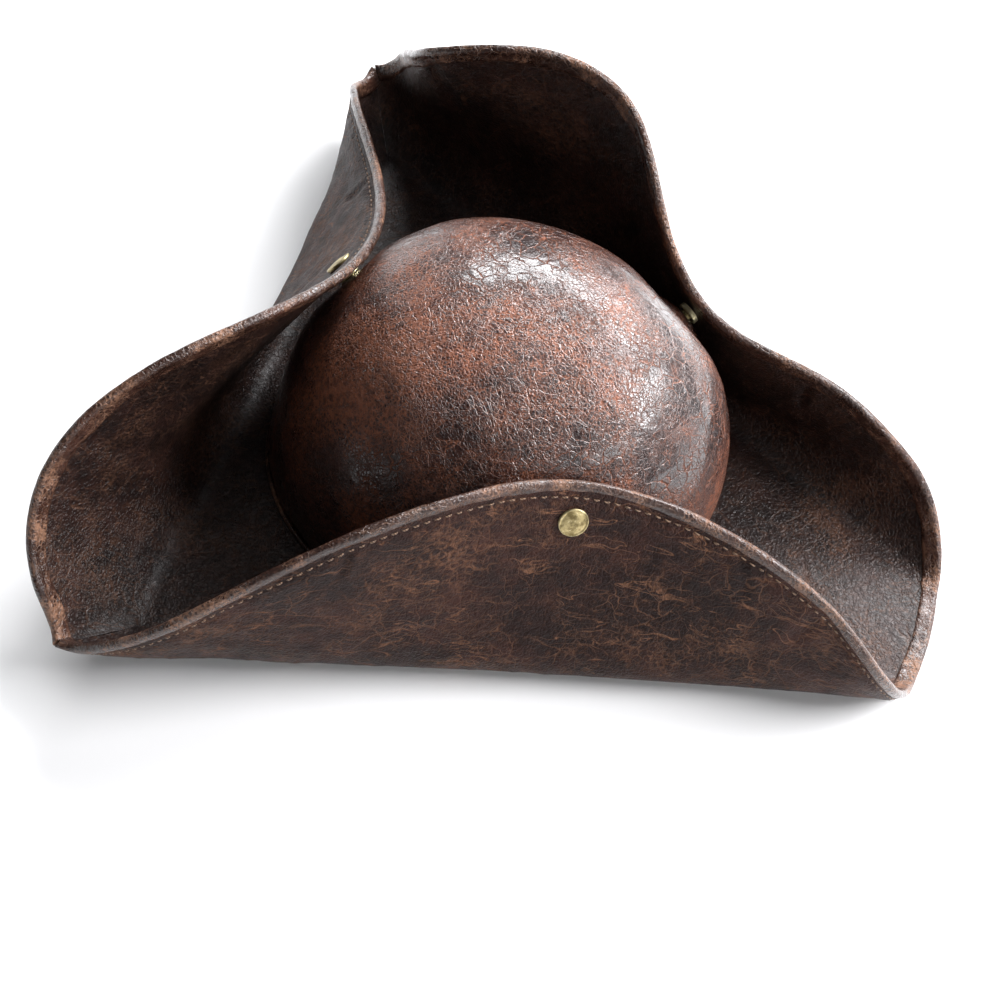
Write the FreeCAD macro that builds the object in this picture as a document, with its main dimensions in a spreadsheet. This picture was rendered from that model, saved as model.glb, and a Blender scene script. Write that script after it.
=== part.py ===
import FreeCAD, Part
import math, os
import Sketcher
from FreeCAD import Vector as V

# Three-cornered hat, millimetres, +Z up, underside of the flat brim at Z = 0.
# The front point of the hat looks along +X, the wearer's right side is -Y.
# The brim is one oval sheet turned up along three straight folds; each turned-up
# flap swings about its fold when its press stud is undone.

doc = FreeCAD.newDocument("tricorn_hat")
sheet = doc.addObject("Spreadsheet::Sheet", "Dimensions")
_row = [0]


def cell(alias, value):
    _row[0] += 1
    address = "B%d" % _row[0]
    sheet.set("A%d" % _row[0], "'" + alias)
    sheet.set(address, str(value))
    sheet.setAlias(address, alias)


for alias, value in (
        # crown
        ("CrownHalfLength", 101.0), ("CrownHalfWidth", 86.0), ("CrownWall", 28.0), ("CrownHeight", 117.0),
        ("CrownTurn", 166.8), ("CrownShiftX", 4.0), ("CrownShiftY", -2.0),
        ("ShellThick", 1.2), ("StiffenerThick", 1.4), ("LiningThick", 0.6),
        ("BandThick", 1.2), ("BandHeight", 26.0), ("BandLift", 1.0), ("HeadDepth", 113.8),
        # brim sheet
        ("LowerLeather", 0.9), ("BrimCore", 1.6), ("UpperLeather", 0.9), ("BrimThick", 3.4),
        ("FoldRadius", 12.0), ("FoldTurn", 45.0), ("HingeGap", 0.15), ("MitreGap", 0.8),
        # flat outline of the brim
        ("OutlineHalfX", 208.2), ("OutlineHalfY", 218.4), ("OutlineX", -6.5), ("OutlineY", 9.1),
        ("ThreeCos", -9.1), ("ThreeSin", -8.2), ("FourCos", 6.8), ("FourSin", -5.9),
        # fold directions (degrees from +X) and distances from the hat's centre
        ("RightTurn", -96.2), ("RightReach", 92.2), ("LeftTurn", 41.9), ("LeftReach", 96.1),
        ("BackTurn", 155.5), ("BackReach", 106.7),
        ("RightSnapAlong", 24.4), ("LeftSnapAlong", -30.2), ("BackSnapAlong", -20.9), ("SnapInset", 19.0),
        # wall lean and bend length at the three corners
        ("FrontCornerLean", 96.0), ("FrontCornerBend", 56.0), ("RearRightLean", 78.0), ("RearRightBend", 74.0),
        ("RearLeftLean", 74.0), ("RearLeftBend", 54.0), ("CornerBlend", 45.0), ("PointHeight", 14.0),
        # edge binding, stitch line
        ("BindingWidth", 4.6), ("BindingRise", 2.2), ("StitchInset", 5.0), ("StitchWidth", 0.8), ("StitchRise", 0.3),
        # press studs
        ("CapRadius", 6.2), ("CapRise", 1.4), ("CapShank", 1.9), ("SocketRadius", 5.2), ("SocketBore", 3.2),
        ("SocketDepth", 2.2), ("StudRadius", 5.0), ("StudFlange", 0.8), ("StudNose", 2.6), ("PostShank", 1.5),
        ("PostRadius", 5.0)):
    cell(alias, value)

# Wall tables along each flap: distance from the flap's middle, final lean from the
# floor in degrees, and the length over which the wall reaches that lean.
STATIONS = (-210, -180, -150, -100, -50, 0, 50, 100, 150, 180, 210)
WALLS = {
    "Right": ((85.2, 85.2, 85.3, 93.1, 101.9, 112.5, 117.0, 112.3, 104.7, 99.0, 95.2),
              (70.7, 70.7, 70.5, 50.7, 35.2, 27.8, 25.2, 28.4, 41.9, 53.1, 60.6)),
    "Left": ((94.3, 93.7, 93.5, 99.3, 111.2, 102.1, 85.1, 95.5, 110.0, 92.0, 74.0),
             (70.7, 60.3, 48.1, 28.7, 17.1, 30.4, 53.4, 55.4, 50.0, 52.0, 54.0)),
    "Back": ((60.0, 68.0, 82.0, 111.5, 122.5, 118.7, 107.0, 84.6, 67.0, 74.0, 78.0),
             (54.0, 52.0, 43.8, 27.6, 16.8, 21.4, 41.1, 63.1, 78.0, 75.0, 74.0)),
}
for side in ("Right", "Left", "Back"):
    for i in range(11):
        cell("%sLean%s" % (side, "ABCDEFGHIJK"[i]), WALLS[side][0][i])
        cell("%sBend%s" % (side, "ABCDEFGHIJK"[i]), WALLS[side][1][i])
doc.recompute()


def dim(alias):
    return float(sheet.get(alias))


def spline(xs, ys):
    # natural cubic spline through the table
    n = len(xs)
    a = [0.0] * n
    c = [0.0] * n
    d = [0.0] * n
    for i in range(1, n - 1):
        lo, hi = xs[i] - xs[i - 1], xs[i + 1] - xs[i]
        rhs = 6 * ((ys[i + 1] - ys[i]) / hi - (ys[i] - ys[i - 1]) / lo)
        m = 2 * (lo + hi) - lo * c[i - 1]
        c[i] = hi / m
        d[i] = (rhs - lo * d[i - 1]) / m
    for i in range(n - 2, 0, -1):
        a[i] = d[i] - c[i] * a[i + 1]

    def f(x):
        x = min(max(x, xs[0]), xs[-1])
        i = 0
        while i < n - 2 and x > xs[i + 1]:
            i += 1
        w = xs[i + 1] - xs[i]
        p, q = xs[i + 1] - x, x - xs[i]
        return (a[i] * p ** 3 / (6 * w) + a[i + 1] * q ** 3 / (6 * w)
                + (ys[i] / w - a[i] * w / 6) * p + (ys[i + 1] / w - a[i + 1] * w / 6) * q)
    return f


THICK = dim("BrimThick")
R0, AH = dim("FoldRadius"), math.radians(dim("FoldTurn"))
TH = R0 * AH


def outline_point(a):
    r = 1 + (dim("ThreeCos") * math.cos(3 * a) + dim("ThreeSin") * math.sin(3 * a)
             + dim("FourCos") * math.cos(4 * a) + dim("FourSin") * math.sin(4 * a)) / 205.0
    return (dim("OutlineX") + dim("OutlineHalfX") * r * math.cos(a),
            dim("OutlineY") + dim("OutlineHalfY") * r * math.sin(a))


OUTLINE = [outline_point(math.radians(i * 0.5)) for i in range(720)]


def profile(g, tau, t):
    # (run, rise) of the wall after length t: a 45 degree roll of radius R0, then easing to lean g
    if t <= TH:
        return R0 * math.sin(t / R0), R0 * (1 - math.cos(t / R0))
    o, z = R0 * math.sin(AH), R0 * (1 - math.cos(AH))
    n = 24
    h = (t - TH) / n
    for i in range(n):
        q = min(((i + 0.5) * h) / tau, 1.0)
        al = AH + (g - AH) * math.sin(q * math.pi / 2)
        o += h * math.cos(al)
        z += h * math.sin(al)
    return o, z


def smooth(x):
    x = min(max(x, 0.0), 1.0)
    return x * x * (3 - 2 * x)


class Flap(object):
    def __init__(self, side):
        self.side = side
        psi = math.radians(dim(side + "Turn"))
        self.n = V(math.cos(psi), math.sin(psi), 0)
        self.tg = V(-math.sin(psi), math.cos(psi), 0)
        self.d = dim(side + "Reach")
        keys = "ABCDEFGHIJK"
        self.lean = spline(STATIONS, [dim("%sLean%s" % (side, c)) for c in keys])
        self.bend = spline(STATIONS, [dim("%sBend%s" % (side, c)) for c in keys])
        pts = []
        for x, y in OUTLINE:
            p = V(x, y, 0)
            if p.dot(self.n) > self.d - 3:
                pts.append((p.dot(self.tg), p.dot(self.n) - self.d))
        self.edge = sorted(pts)

    def height(self, s):
        e = self.edge
        if s <= e[0][0]:
            return e[0][1]
        for a, b in zip(e, e[1:]):
            if a[0] <= s <= b[0]:
                return a[1] + (b[1] - a[1]) * (s - a[0]) / max(b[0] - a[0], 1e-9)
        return e[-1][1]


FLAPS = {side: Flap(side) for side in ("Right", "Left", "Back")}
CORNERS = {  # flap at whose high end, flap at whose low end, lean, bend
    "Front": ("Right", "Left"), "RearRight": ("Back", "Right"), "RearLeft": ("Left", "Back")}


def crossing(a, b):
    det = a.n.x * b.n.y - a.n.y * b.n.x
    return V((a.d * b.n.y - b.d * a.n.y) / det, (a.n.x * b.d - b.n.x * a.d) / det, 0)


for name, (hi, lo) in CORNERS.items():
    a, b = FLAPS[hi], FLAPS[lo]
    g, tau = (math.radians(dim(name + ("CornerLean" if name == "Front" else "Lean"))),
              dim(name + ("CornerBend" if name == "Front" else "Bend")))
    vertex = crossing(a, b)
    inside = name != "Front"
    half = math.acos(max(-1, min(1, a.n.dot(b.n)))) / 2
    tn = math.tan(half) if inside else -0.35

    def start(f, sign, vertex=vertex, inside=inside, g=g, tau=tau, tn=tn):
        if inside:
            return vertex.dot(f.tg)
        s = 0.0
        while f.height(s) > dim("PointHeight"):
            s += 0.5 * sign
        return s + 0.35 * sign * profile(g, tau, dim("PointHeight"))[0]
    sa, sb = start(a, 1), start(b, -1)
    gap = dim("MitreGap") if inside else 0.0
    # height of the wall where the mitre meets the brim's outline
    top = dim("PointHeight")
    if inside:
        tops = []
        for f, s0, sign in ((a, sa, 1), (b, sb, -1)):
            t = 4.0
            while f.height(s0 + sign * tn * profile(g, tau, t)[0]) > t and t < 60:
                t += 0.25
            tops.append(t)
        top = max(min(tops), TH + 3.5)
    a.high = (sa, tn, g, tau, top, gap)
    b.low = (sb, tn, g, tau, top, gap)


def bound(f, t, sign, gapped=True):
    s0, tn, g, tau, top, gap = f.high if sign > 0 else f.low
    return s0 + sign * (tn * profile(g, tau, t)[0] - (gap if gapped else 0.0))


def wall(f, s, t):
    # point on the upper and inner face of the brim sheet
    g, tau = math.radians(f.lean(s)), max(f.bend(s), 14.0)
    for sign in (1, -1):
        c = f.high if sign > 0 else f.low
        w = 1 - smooth(abs(s - bound(f, t, sign, False)) / dim("CornerBlend"))
        if sign * (s - bound(f, t, sign, False)) > 0:
            w = 1.0
        g, tau = g * (1 - w) + c[2] * w, tau * (1 - w) + c[3] * w
    o, z = profile(g, tau, t)
    p = f.n * (f.d + o) + f.tg * s
    return V(p.x, p.y, z + THICK)


def rim(f, s):
    t = f.height(s)
    for sign in (1, -1):
        c = f.high if sign > 0 else f.low
        w = 1 - smooth(abs(s - bound(f, c[4], sign)) / 30.0)
        t = t * (1 - w) + c[4] * w
    return max(t, TH + 3.5)


def normal(f, s, t):
    e = 0.05
    a = wall(f, s + e, t) - wall(f, s - e, t)
    b = wall(f, s, t + e) - wall(f, s, t - e)
    n = a.cross(b)
    n.normalize()
    if n.dot(V(-f.n.x, -f.n.y, 1.0)) < 0:
        n = n * -1
    return n


def place(f, u, v):
    # u runs along the flap, v from the fold to the rim
    base = TH + dim("HingeGap")
    ends = []
    for sign in (-1, 1):
        c = f.high if sign > 0 else f.low
        ends.append(bound(f, base + v * (c[4] - base), sign))
    s = ends[0] * (1 - u) + ends[1] * u
    top = rim(f, bound(f, f.low[4], -1) * (1 - u) + bound(f, f.high[4], 1) * u)
    return s, base + v * (top - base)


def grid(f, h, nu=61, nv=13):
    rows = []
    for i in range(nu):
        u = i / (nu - 1.0)
        row = []
        for j in range(nv):
            v = j / (nv - 1.0)
            s, t = place(f, u, v)
            row.append(wall(f, s, t) - normal(f, s, t) * h)
        rows.append(row)
    return rows


def band_grid(f, inset, width, h, nu=61):
    # narrow band that follows the rim at a distance
    rows = []
    for i in range(nu):
        u = 0.01 + 0.98 * i / (nu - 1.0)
        s = bound(f, f.low[4], -1) * (1 - u) + bound(f, f.high[4], 1) * u
        top = rim(f, s)
        row = []
        for j in range(3):
            t = max(top - inset - width / 2 + width * j / 2, TH + 0.6 + width * j / 2)
            row.append(wall(f, s, t) - normal(f, s, t) * h)
        rows.append(row)
    return rows


def slab(low, high):
    # closed solid between two matching point grids
    faces = []
    surfs = []
    for g in (low, high):
        b = Part.BSplineSurface()
        b.interpolate(g)
        surfs.append(b)
        faces.append(b.toShape())
    u0, u1, v0, v1 = surfs[0].bounds()
    U0, U1, V0, V1 = surfs[1].bounds()
    for a, b in ((surfs[0].uIso(u0), surfs[1].uIso(U0)), (surfs[0].uIso(u1), surfs[1].uIso(U1)),
                 (surfs[0].vIso(v0), surfs[1].vIso(V0)), (surfs[0].vIso(v1), surfs[1].vIso(V1))):
        faces.append(Part.makeRuledSurface(a.toShape(), b.toShape()))
    shell = Part.makeShell(faces)
    shell.sewShape()
    solid = Part.makeSolid(shell)
    if solid.Volume < 0:
        solid.reverse()
    return solid


def keep(label, shape, placement=None):
    obj = doc.addObject("Part::Feature", label)
    obj.Label = label
    obj.Shape = shape
    if placement is not None:
        obj.Placement = placement
    NODES.append((label, obj))
    return obj


NODES = []

# ---------------------------------------------------------------- crown
turn = FreeCAD.Placement(V(dim("CrownShiftX"), dim("CrownShiftY"), 0), FreeCAD.Rotation(V(0, 0, 1), dim("CrownTurn")))


def dome(label, inset):
    # upright oval wall closed by half an ellipsoid, inset from the crown's outer face
    e = doc.addObject("Part::Ellipsoid", label + "_cap")
    e.setExpression("Radius1", "Dimensions.CrownHeight + Dimensions.BrimThick - Dimensions.CrownWall - (%s)" % inset)
    e.setExpression("Radius2", "Dimensions.CrownHalfLength - (%s)" % inset)
    e.setExpression("Radius3", "Dimensions.CrownHalfWidth - (%s)" % inset)
    e.Angle1 = 0
    e.Placement = FreeCAD.Placement(V(0, 0, dim("CrownWall")), FreeCAD.Rotation())
    o = doc.addObject("Part::Ellipse", label + "_oval")
    o.setExpression("MajorRadius", "Dimensions.CrownHalfLength - (%s)" % inset)
    o.setExpression("MinorRadius", "Dimensions.CrownHalfWidth - (%s)" % inset)
    o.Placement = FreeCAD.Placement(V(0, 0, -10), FreeCAD.Rotation())
    x = doc.addObject("Part::Extrusion", label + "_wall")
    x.Base = o
    x.DirMode = "Custom"
    x.Dir = V(0, 0, 1)
    x.setExpression("LengthFwd", "Dimensions.CrownWall + 10")
    x.Solid = True
    u = doc.addObject("Part::Fuse", label)
    u.Base, u.Tool = e, x
    return u


T0 = "0"
T1 = "Dimensions.ShellThick"
T2 = "Dimensions.ShellThick + Dimensions.StiffenerThick"
T3 = "Dimensions.ShellThick + Dimensions.StiffenerThick + Dimensions.LiningThick"
layers = {}


def layer(label, outer, inner, floor):
    a, b = dome(label + "_outer", outer), dome(label + "_inner", inner)
    c = doc.addObject("Part::Cut", label + "_hollow")
    c.Base, c.Tool = a, b
    box = doc.addObject("Part::Box", label + "_trim")
    box.Length, box.Width, box.Height = 260, 260, 40
    box.Placement = FreeCAD.Placement(V(-130, -130, 0), FreeCAD.Rotation())
    box.setExpression("Placement.Base.z", "%s - 40" % floor)
    d = doc.addObject("Part::Cut", label + "_dome")
    d.Base, d.Tool = c, box
    layers[label] = d


layer("crown_shell", T0, T1, "Dimensions.BrimThick")
layer("crown_stiffener", T1, T2, "0")
layer("crown_lining", T2, T3, "0")
doc.recompute()

# ---------------------------------------------------------------- press stud frames
SNAPS = {}
crown_outer = doc.getObject("crown_shell_outer").Shape.copy()
crown_outer.Placement = turn.multiply(crown_outer.Placement)
for side, f in FLAPS.items():
    s = dim(side + "SnapAlong")
    t = rim(f, s) - dim("SnapInset")
    p, n = wall(f, s, t), normal(f, s, t) * -1
    # common axis: halfway between the flap's outward normal and the crown's
    line = Part.makeLine(p + n * 1.0, p - n * 60)
    hit = min((v.Point for v in line.common(crown_outer).Vertexes), key=lambda q: (q - p).Length)
    foot = hit
    best = None
    for face in crown_outer.Faces:
        dist, pairs, info = face.distToShape(Part.Vertex(foot))
        if best is None or dist < best[0]:
            best = (dist, face, pairs[0][0])
    uv = best[1].Surface.parameter(best[2])
    m = best[1].normalAt(*uv)
    if m.dot(n) < 0:
        m = m * -1
    axis = n * 0.5 + m * 0.5
    axis.normalize()
    line = Part.makeLine(p + axis * 1.0, p - axis * 60)
    gap = min((v.Point - p).Length for v in line.common(crown_outer).Vertexes if (v.Point - p).Length > 0.01)
    SNAPS[side] = (p, axis, gap)
    print(side, "press stud at", [round(c, 2) for c in p], "axis", [round(c, 3) for c in axis],
          "crown to flap", round(gap, 2), "axis off normal", round(math.degrees(axis.getAngle(n)), 1))


def rod(p, axis, a, b, r):
    return Part.makeCylinder(r, b - a, p + axis * a, axis)


def drill(shape, r, sides=("Right", "Left", "Back")):
    for side in sides:
        p, axis, gap = SNAPS[side]
        shape = shape.cut(rod(p, axis, -gap - 12, -gap + 4, r))
    return shape


for label in ("crown_shell", "crown_stiffener", "crown_lining"):
    shape = layers[label].Shape.copy()
    shape.Placement = turn.multiply(shape.Placement)
    shape = drill(shape, dim("PostShank") + 0.1)
    shape = shape.Solids[0] if len(shape.Solids) == 1 else shape
    keep(label, shape)

# sweatband: an oval hoop inside the lining
band = doc.addObject("PartDesign::Body", "sweatband")
sk = band.newObject("Sketcher::SketchObject", "sweatband_ovals")
plane = [o for o in band.Origin.OriginFeatures if o.Role == "XY_Plane"][0]
sk.AttachmentSupport = [(plane, "")]
sk.MapMode = "FlatFace"
inner = dim("ShellThick") + dim("StiffenerThick") + dim("LiningThick")
for k, extra in ((0, 0.0), (1, dim("BandThick"))):
    a, b = dim("CrownHalfLength") - inner - extra, dim("CrownHalfWidth") - inner - extra
    g = sk.addGeometry(Part.Ellipse(V(0, 0, 0), a, b), False)
    sk.exposeInternalGeometry(g)
pad = band.newObject("PartDesign::Pad", "sweatband_hoop")
pad.Profile = sk
pad.setExpression("Length", "Dimensions.BandHeight")
band.Tip = pad
doc.recompute()
band.Placement = FreeCAD.Placement(V(dim("CrownShiftX"), dim("CrownShiftY"), dim("BandLift")),
                                   FreeCAD.Rotation(V(0, 0, 1), dim("CrownTurn")))
NODES.append(("sweatband", band))

# ---------------------------------------------------------------- flat floor of the brim with its rolled folds
R, L, B = FLAPS["Right"], FLAPS["Left"], FLAPS["Back"]


def floor_points():
    # corners of the floor in order: rear right, front (two), rear left
    pts = {}
    pts["RearRight"] = [crossing(B, R)]
    pts["RearLeft"] = [crossing(L, B)]
    a = R.n * R.d + R.tg * bound(R, 0, 1)
    b = L.n * L.d + L.tg * bound(L, 0, -1)
    pts["Front"] = [a, b]
    return pts


FP = floor_points()


def prism(points, z0, z1):
    w = Part.makePolygon([V(p.x, p.y, z0) for p in points] + [V(points[0].x, points[0].y, z0)])
    return Part.Face(w).extrude(V(0, 0, z1 - z0))


def oval(inset, z0, z1):
    e = Part.Ellipse(V(0, 0, z0), dim("CrownHalfLength") - inset, dim("CrownHalfWidth") - inset)
    w = Part.Wire([e.toShape()])
    s = Part.Face(w).extrude(V(0, 0, z1 - z0))
    s.Placement = turn.multiply(s.Placement)
    return s


def end_ray(f, sign):
    # plan position of the fold's end and of the rolled strip's end
    p0 = f.n * f.d + f.tg * bound(f, 0, sign, False)
    o = profile(1.0, 50.0, TH)[0]
    p1 = f.n * (f.d + o) + f.tg * bound(f, TH, sign, False)
    return p0, p0 + (p1 - p0) * 4.0


def floor_layer(z0, z1):
    poly = [FP["RearRight"][0], FP["Front"][0], FP["Front"][1], FP["RearLeft"][0]]
    body = prism(poly, z0, z1)
    for f in (R, L, B):
        mid = f.n * f.d
        a, b = mid - f.tg * 260, mid + f.tg * 260
        face = Part.Face(Part.makePolygon([V(a.x, a.y, z0), V(b.x, b.y, z0), V(b.x, b.y, z1), V(a.x, a.y, z1), V(a.x, a.y, z0)]))
        axis_point = V(mid.x, mid.y, THICK + R0)
        strip = face.revolve(axis_point, f.tg * -1, math.degrees(AH))
        if strip.BoundBox.ZMax < THICK + 1:
            strip = face.revolve(axis_point, f.tg, math.degrees(AH))
        lo0, lo1 = end_ray(f, -1)
        hi0, hi1 = end_ray(f, 1)
        strip = strip.common(prism([lo0 - f.n * 0.0, hi0, hi1, lo1], z0 - 1, 60))
        body = body.fuse(strip)
    body = body.removeSplitter()
    body = body.cut(oval(dim("ShellThick"), -5, 40))
    return body


z1, z2, z3 = dim("LowerLeather"), dim("LowerLeather") + dim("BrimCore"), THICK
for label, a, b in (("floor_lower_leather", 0.0, z1), ("floor_core", z1, z2), ("floor_upper_leather", z2, z3)):
    shape = floor_layer(a, b)
    shape = shape.Solids[0] if len(shape.Solids) == 1 else shape
    keep(label, shape)

# ---------------------------------------------------------------- turned-up flaps
for side in ("Right", "Left", "Back"):
    f = FLAPS[side]
    p, axis, gap = SNAPS[side]
    levels = (0.0, dim("UpperLeather"), dim("UpperLeather") + dim("BrimCore"), THICK)
    grids = [grid(f, h) for h in levels]
    low = side.lower() + "_flap_"
    for name, i in (("inner_leather", 0), ("core", 1), ("outer_leather", 2)):
        solid = slab(grids[i + 1], grids[i])
        solid = solid.cut(rod(p, axis, -3, 8, dim("CapShank") + 0.1))
        keep(low + name, solid.Solids[0] if len(solid.Solids) == 1 else solid)
    # rounded binding along the rim
    wires = []
    count = 61
    for i in range(count):
        u = i / (count - 1.0)
        s = bound(f, f.low[4], -1) * (1 - u) + bound(f, f.high[4], 1) * u
        t = rim(f, s)
        c = wall(f, s, t)
        nn = normal(f, s, t)
        up = wall(f, s, t + 0.05) - wall(f, s, t - 0.05)
        up.normalize()
        c = c - nn * (THICK / 2) + up * 0.2
        hw, hr = dim("BindingWidth") / 2, dim("BindingRise")
        a, b, m = c - nn * hw, c + nn * hw, c + up * hr
        arc = Part.Arc(a, m, b).toShape()
        wires.append(Part.Wire([arc, Part.makeLine(b, a)]))
    keep(low + "binding", Part.makeLoft(wires, True, False))
    # stitch line below the rim, on the outer face
    g0 = band_grid(f, dim("StitchInset"), dim("StitchWidth"), THICK + 0.35)
    g1 = band_grid(f, dim("StitchInset"), dim("StitchWidth"), THICK + 0.35 + dim("StitchRise"))
    keep(low + "stitching", slab(g1, g0))

# binding of the open front point: along the end of the rolled strips and the floor between them
path = []
for k in range(5):
    t = TH * (1 - k / 5.0)
    path.append((R, bound(R, t, 1, False), t))
tip = []
for f, s, t in path:
    q = wall(f, s, t)
    tip.append(q)
tip.append(V(FP["Front"][0].x, FP["Front"][0].y, THICK))
tip.append(V(FP["Front"][1].x, FP["Front"][1].y, THICK))
for k in range(1, 6):
    t = TH * k / 5.0
    tip.append(wall(L, bound(L, t, -1, False), t))
mid = (FP["Front"][0] + FP["Front"][1]) * 0.5
edge = FP["Front"][1] - FP["Front"][0]
out = V(edge.y, -edge.x, 0)
out.normalize()
a, b = FP["Front"][0], FP["Front"][1]
hw, hr = dim("BindingWidth") / 2, dim("BindingRise")
zc = THICK / 2
wires = []
for k in range(5):
    w = 0.04 + 0.92 * k / 4.0
    c = a * (1 - w) + b * w + out * 0.12
    c = V(c.x, c.y, max(zc, hw))
    p1, p2, m = c + V(0, 0, -hw), c + V(0, 0, hw), c + out * hr
    wires.append(Part.Wire([Part.Arc(p1, m, p2).toShape(), Part.makeLine(p2, p1)]))
keep("front_point_binding", Part.makeLoft(wires, True, False))

# ---------------------------------------------------------------- press studs
def turned(label, points, placement):
    # solid of revolution about the stud's own Z, each profile corner tied to the sheet
    body = doc.addObject("PartDesign::Body", label)
    body.Label = label
    s = body.newObject("Sketcher::SketchObject", label + "_profile")
    pl = [o for o in body.Origin.OriginFeatures if o.Role == "XZ_Plane"][0]
    s.AttachmentSupport = [(pl, "")]
    s.MapMode = "FlatFace"
    values = []
    for r, z in points:
        values.append((value_of(r), value_of(z)))
    n = len(points)
    for i in range(n):
        q0, q1 = values[i], values[(i + 1) % n]
        s.addGeometry(Part.LineSegment(V(q0[0], q0[1], 0), V(q1[0], q1[1], 0)), False)
    for i in range(n):
        s.addConstraint(Sketcher.Constraint("Coincident", i, 2, (i + 1) % n, 1))
    for i, (r, z) in enumerate(points):
        vr, vz = values[i]
        if abs(vr) < 1e-9:
            s.addConstraint(Sketcher.Constraint("PointOnObject", i, 1, -2))
        else:
            c = s.addConstraint(Sketcher.Constraint("DistanceX", -1, 1, i, 1, vr))
            if isinstance(r, str):
                s.setExpression("Constraints[%d]" % c, expression(r))
        if abs(vz) < 1e-9:
            s.addConstraint(Sketcher.Constraint("PointOnObject", i, 1, -1))
        else:
            c = s.addConstraint(Sketcher.Constraint("DistanceY", -1, 1, i, 1, vz))
            if isinstance(z, str):
                s.setExpression("Constraints[%d]" % c, expression(z))
    rev = body.newObject("PartDesign::Revolution", label + "_turned")
    rev.Profile = s
    rev.ReferenceAxis = (s, ["V_Axis"])
    rev.Angle = 360
    body.Tip = rev
    doc.recompute()
    body.Placement = placement
    NODES.append((label, body))


def terms(text):
    out = []
    for token in text.replace("-", " - ").replace("+", " + ").replace("*", " * ").split():
        out.append(token)
    return out


def value_of(text):
    if not isinstance(text, str):
        return float(text)
    total, sign, factor = 0.0, 1.0, 1.0
    for token in terms(text):
        if token == "+":
            sign = 1.0
        elif token == "-":
            sign = -1.0
        else:
            number = dim(token) if token[0].isalpha() else float(token)
            total += sign * number
            sign = 1.0
    return total


def expression(text):
    return " ".join(("Dimensions." + t) if t[0].isalpha() else t for t in terms(text))


for side in ("Right", "Left", "Back"):
    p, axis, gap = SNAPS[side]
    rot = FreeCAD.Rotation(V(0, 0, 1), axis)
    low = side.lower()
    # cap outside the flap, its shank through the sheet; base face a little clear of the leather
    cell(side + "CrownGap", round(gap, 3))
    doc.recompute()
    lift = THICK + 0.7
    turned(low + "_snap_cap", [(0, "-BrimThick-1.5"), ("CapShank", "-BrimThick-1.5"), ("CapShank", 0), ("CapRadius", 0),
                               ("CapRadius", "CapRise-0.5"), ("CapRadius-0.6", "CapRise"), ("CapRadius-1.3", "CapRise-0.35"),
                               ("CapRadius-3.0", "CapRise-0.1"), (0, "CapRise")],
           FreeCAD.Placement(p + axis * lift, rot))
    # socket ring on the inner face, open towards the crown
    turned(low + "_snap_socket", [("CapShank+0.05", "-0.35"), ("CapShank+0.05", "-0.9"), ("SocketBore", "-0.9"),
                                  ("SocketBore", "-SocketDepth-0.35"), ("SocketRadius-0.4", "-SocketDepth-0.35"),
                                  ("SocketRadius", "-SocketDepth"), ("SocketRadius", "-0.35")],
           FreeCAD.Placement(p, rot))
    # stud: flange on the crown and a nose that stands in the socket
    up = side + "CrownGap"
    turned(low + "_snap_stud", [("PostShank+0.05", "0.4"), ("StudRadius", "0.4"), ("StudRadius", "StudFlange+0.4"),
                                ("StudNose", "StudFlange+0.4"), ("StudNose", up + "-1.6"), ("StudNose-0.3", up + "-1.3"),
                                ("PostShank+0.05", up + "-1.3")],
           FreeCAD.Placement(p - axis * gap, rot))
    # post: head inside the lining, shank through the crown and the stud
    deep = "-ShellThick-StiffenerThick-LiningThick"
    turned(low + "_snap_post", [(0, up + "-1.4"), ("PostShank", up + "-1.4"), ("PostShank", deep + "-0.45"),
                                ("PostRadius", deep + "-0.45"), ("PostRadius", deep + "-1.25"), (0, deep + "-1.25")],
           FreeCAD.Placement(p - axis * gap, rot))

# ---------------------------------------------------------------- checks and export
doc.recompute()
for obj in doc.Objects:
    if "Invalid" in obj.State or "Error" in obj.State:
        raise RuntimeError("failed object " + obj.Name + " " + str(obj.State))
for label, obj in NODES:
    shape = obj.Shape
    if shape.isNull() or not shape.isValid():
        raise RuntimeError("bad shape " + label)
    if shape.Volume <= 0 or not shape.Solids:
        raise RuntimeError("no solid " + label)
os.makedirs("parts", exist_ok=True)
for label, obj in NODES:
    obj.Shape.exportStep("parts/%s.step" % label)
    b = obj.Shape.BoundBox
    print("%-26s %8.1f mm3 solids %d faces %d  [%.1f %.1f %.1f] [%.1f %.1f %.1f]" % (
        label, obj.Shape.Volume, len(obj.Shape.Solids), len(obj.Shape.Faces), b.XMin, b.YMin, b.ZMin, b.XMax, b.YMax, b.ZMax))
for side, f in FLAPS.items():
    o, z = profile(1.0, 50.0, TH)
    h = f.n * (f.d + o + THICK * math.sin(AH))
    print(side, "hinge axis point", [round(c, 3) for c in (h.x, h.y, THICK + z - THICK * math.cos(AH))],
          "direction", [round(c, 5) for c in f.tg], "ends", [round(bound(f, f.low[4], -1), 1), round(bound(f, f.high[4], 1), 1)],
          "corner heights", round(f.low[4], 1), round(f.high[4], 1))
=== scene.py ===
import bpy, bmesh, math
import numpy as np
from mathutils import Matrix, Vector


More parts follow.
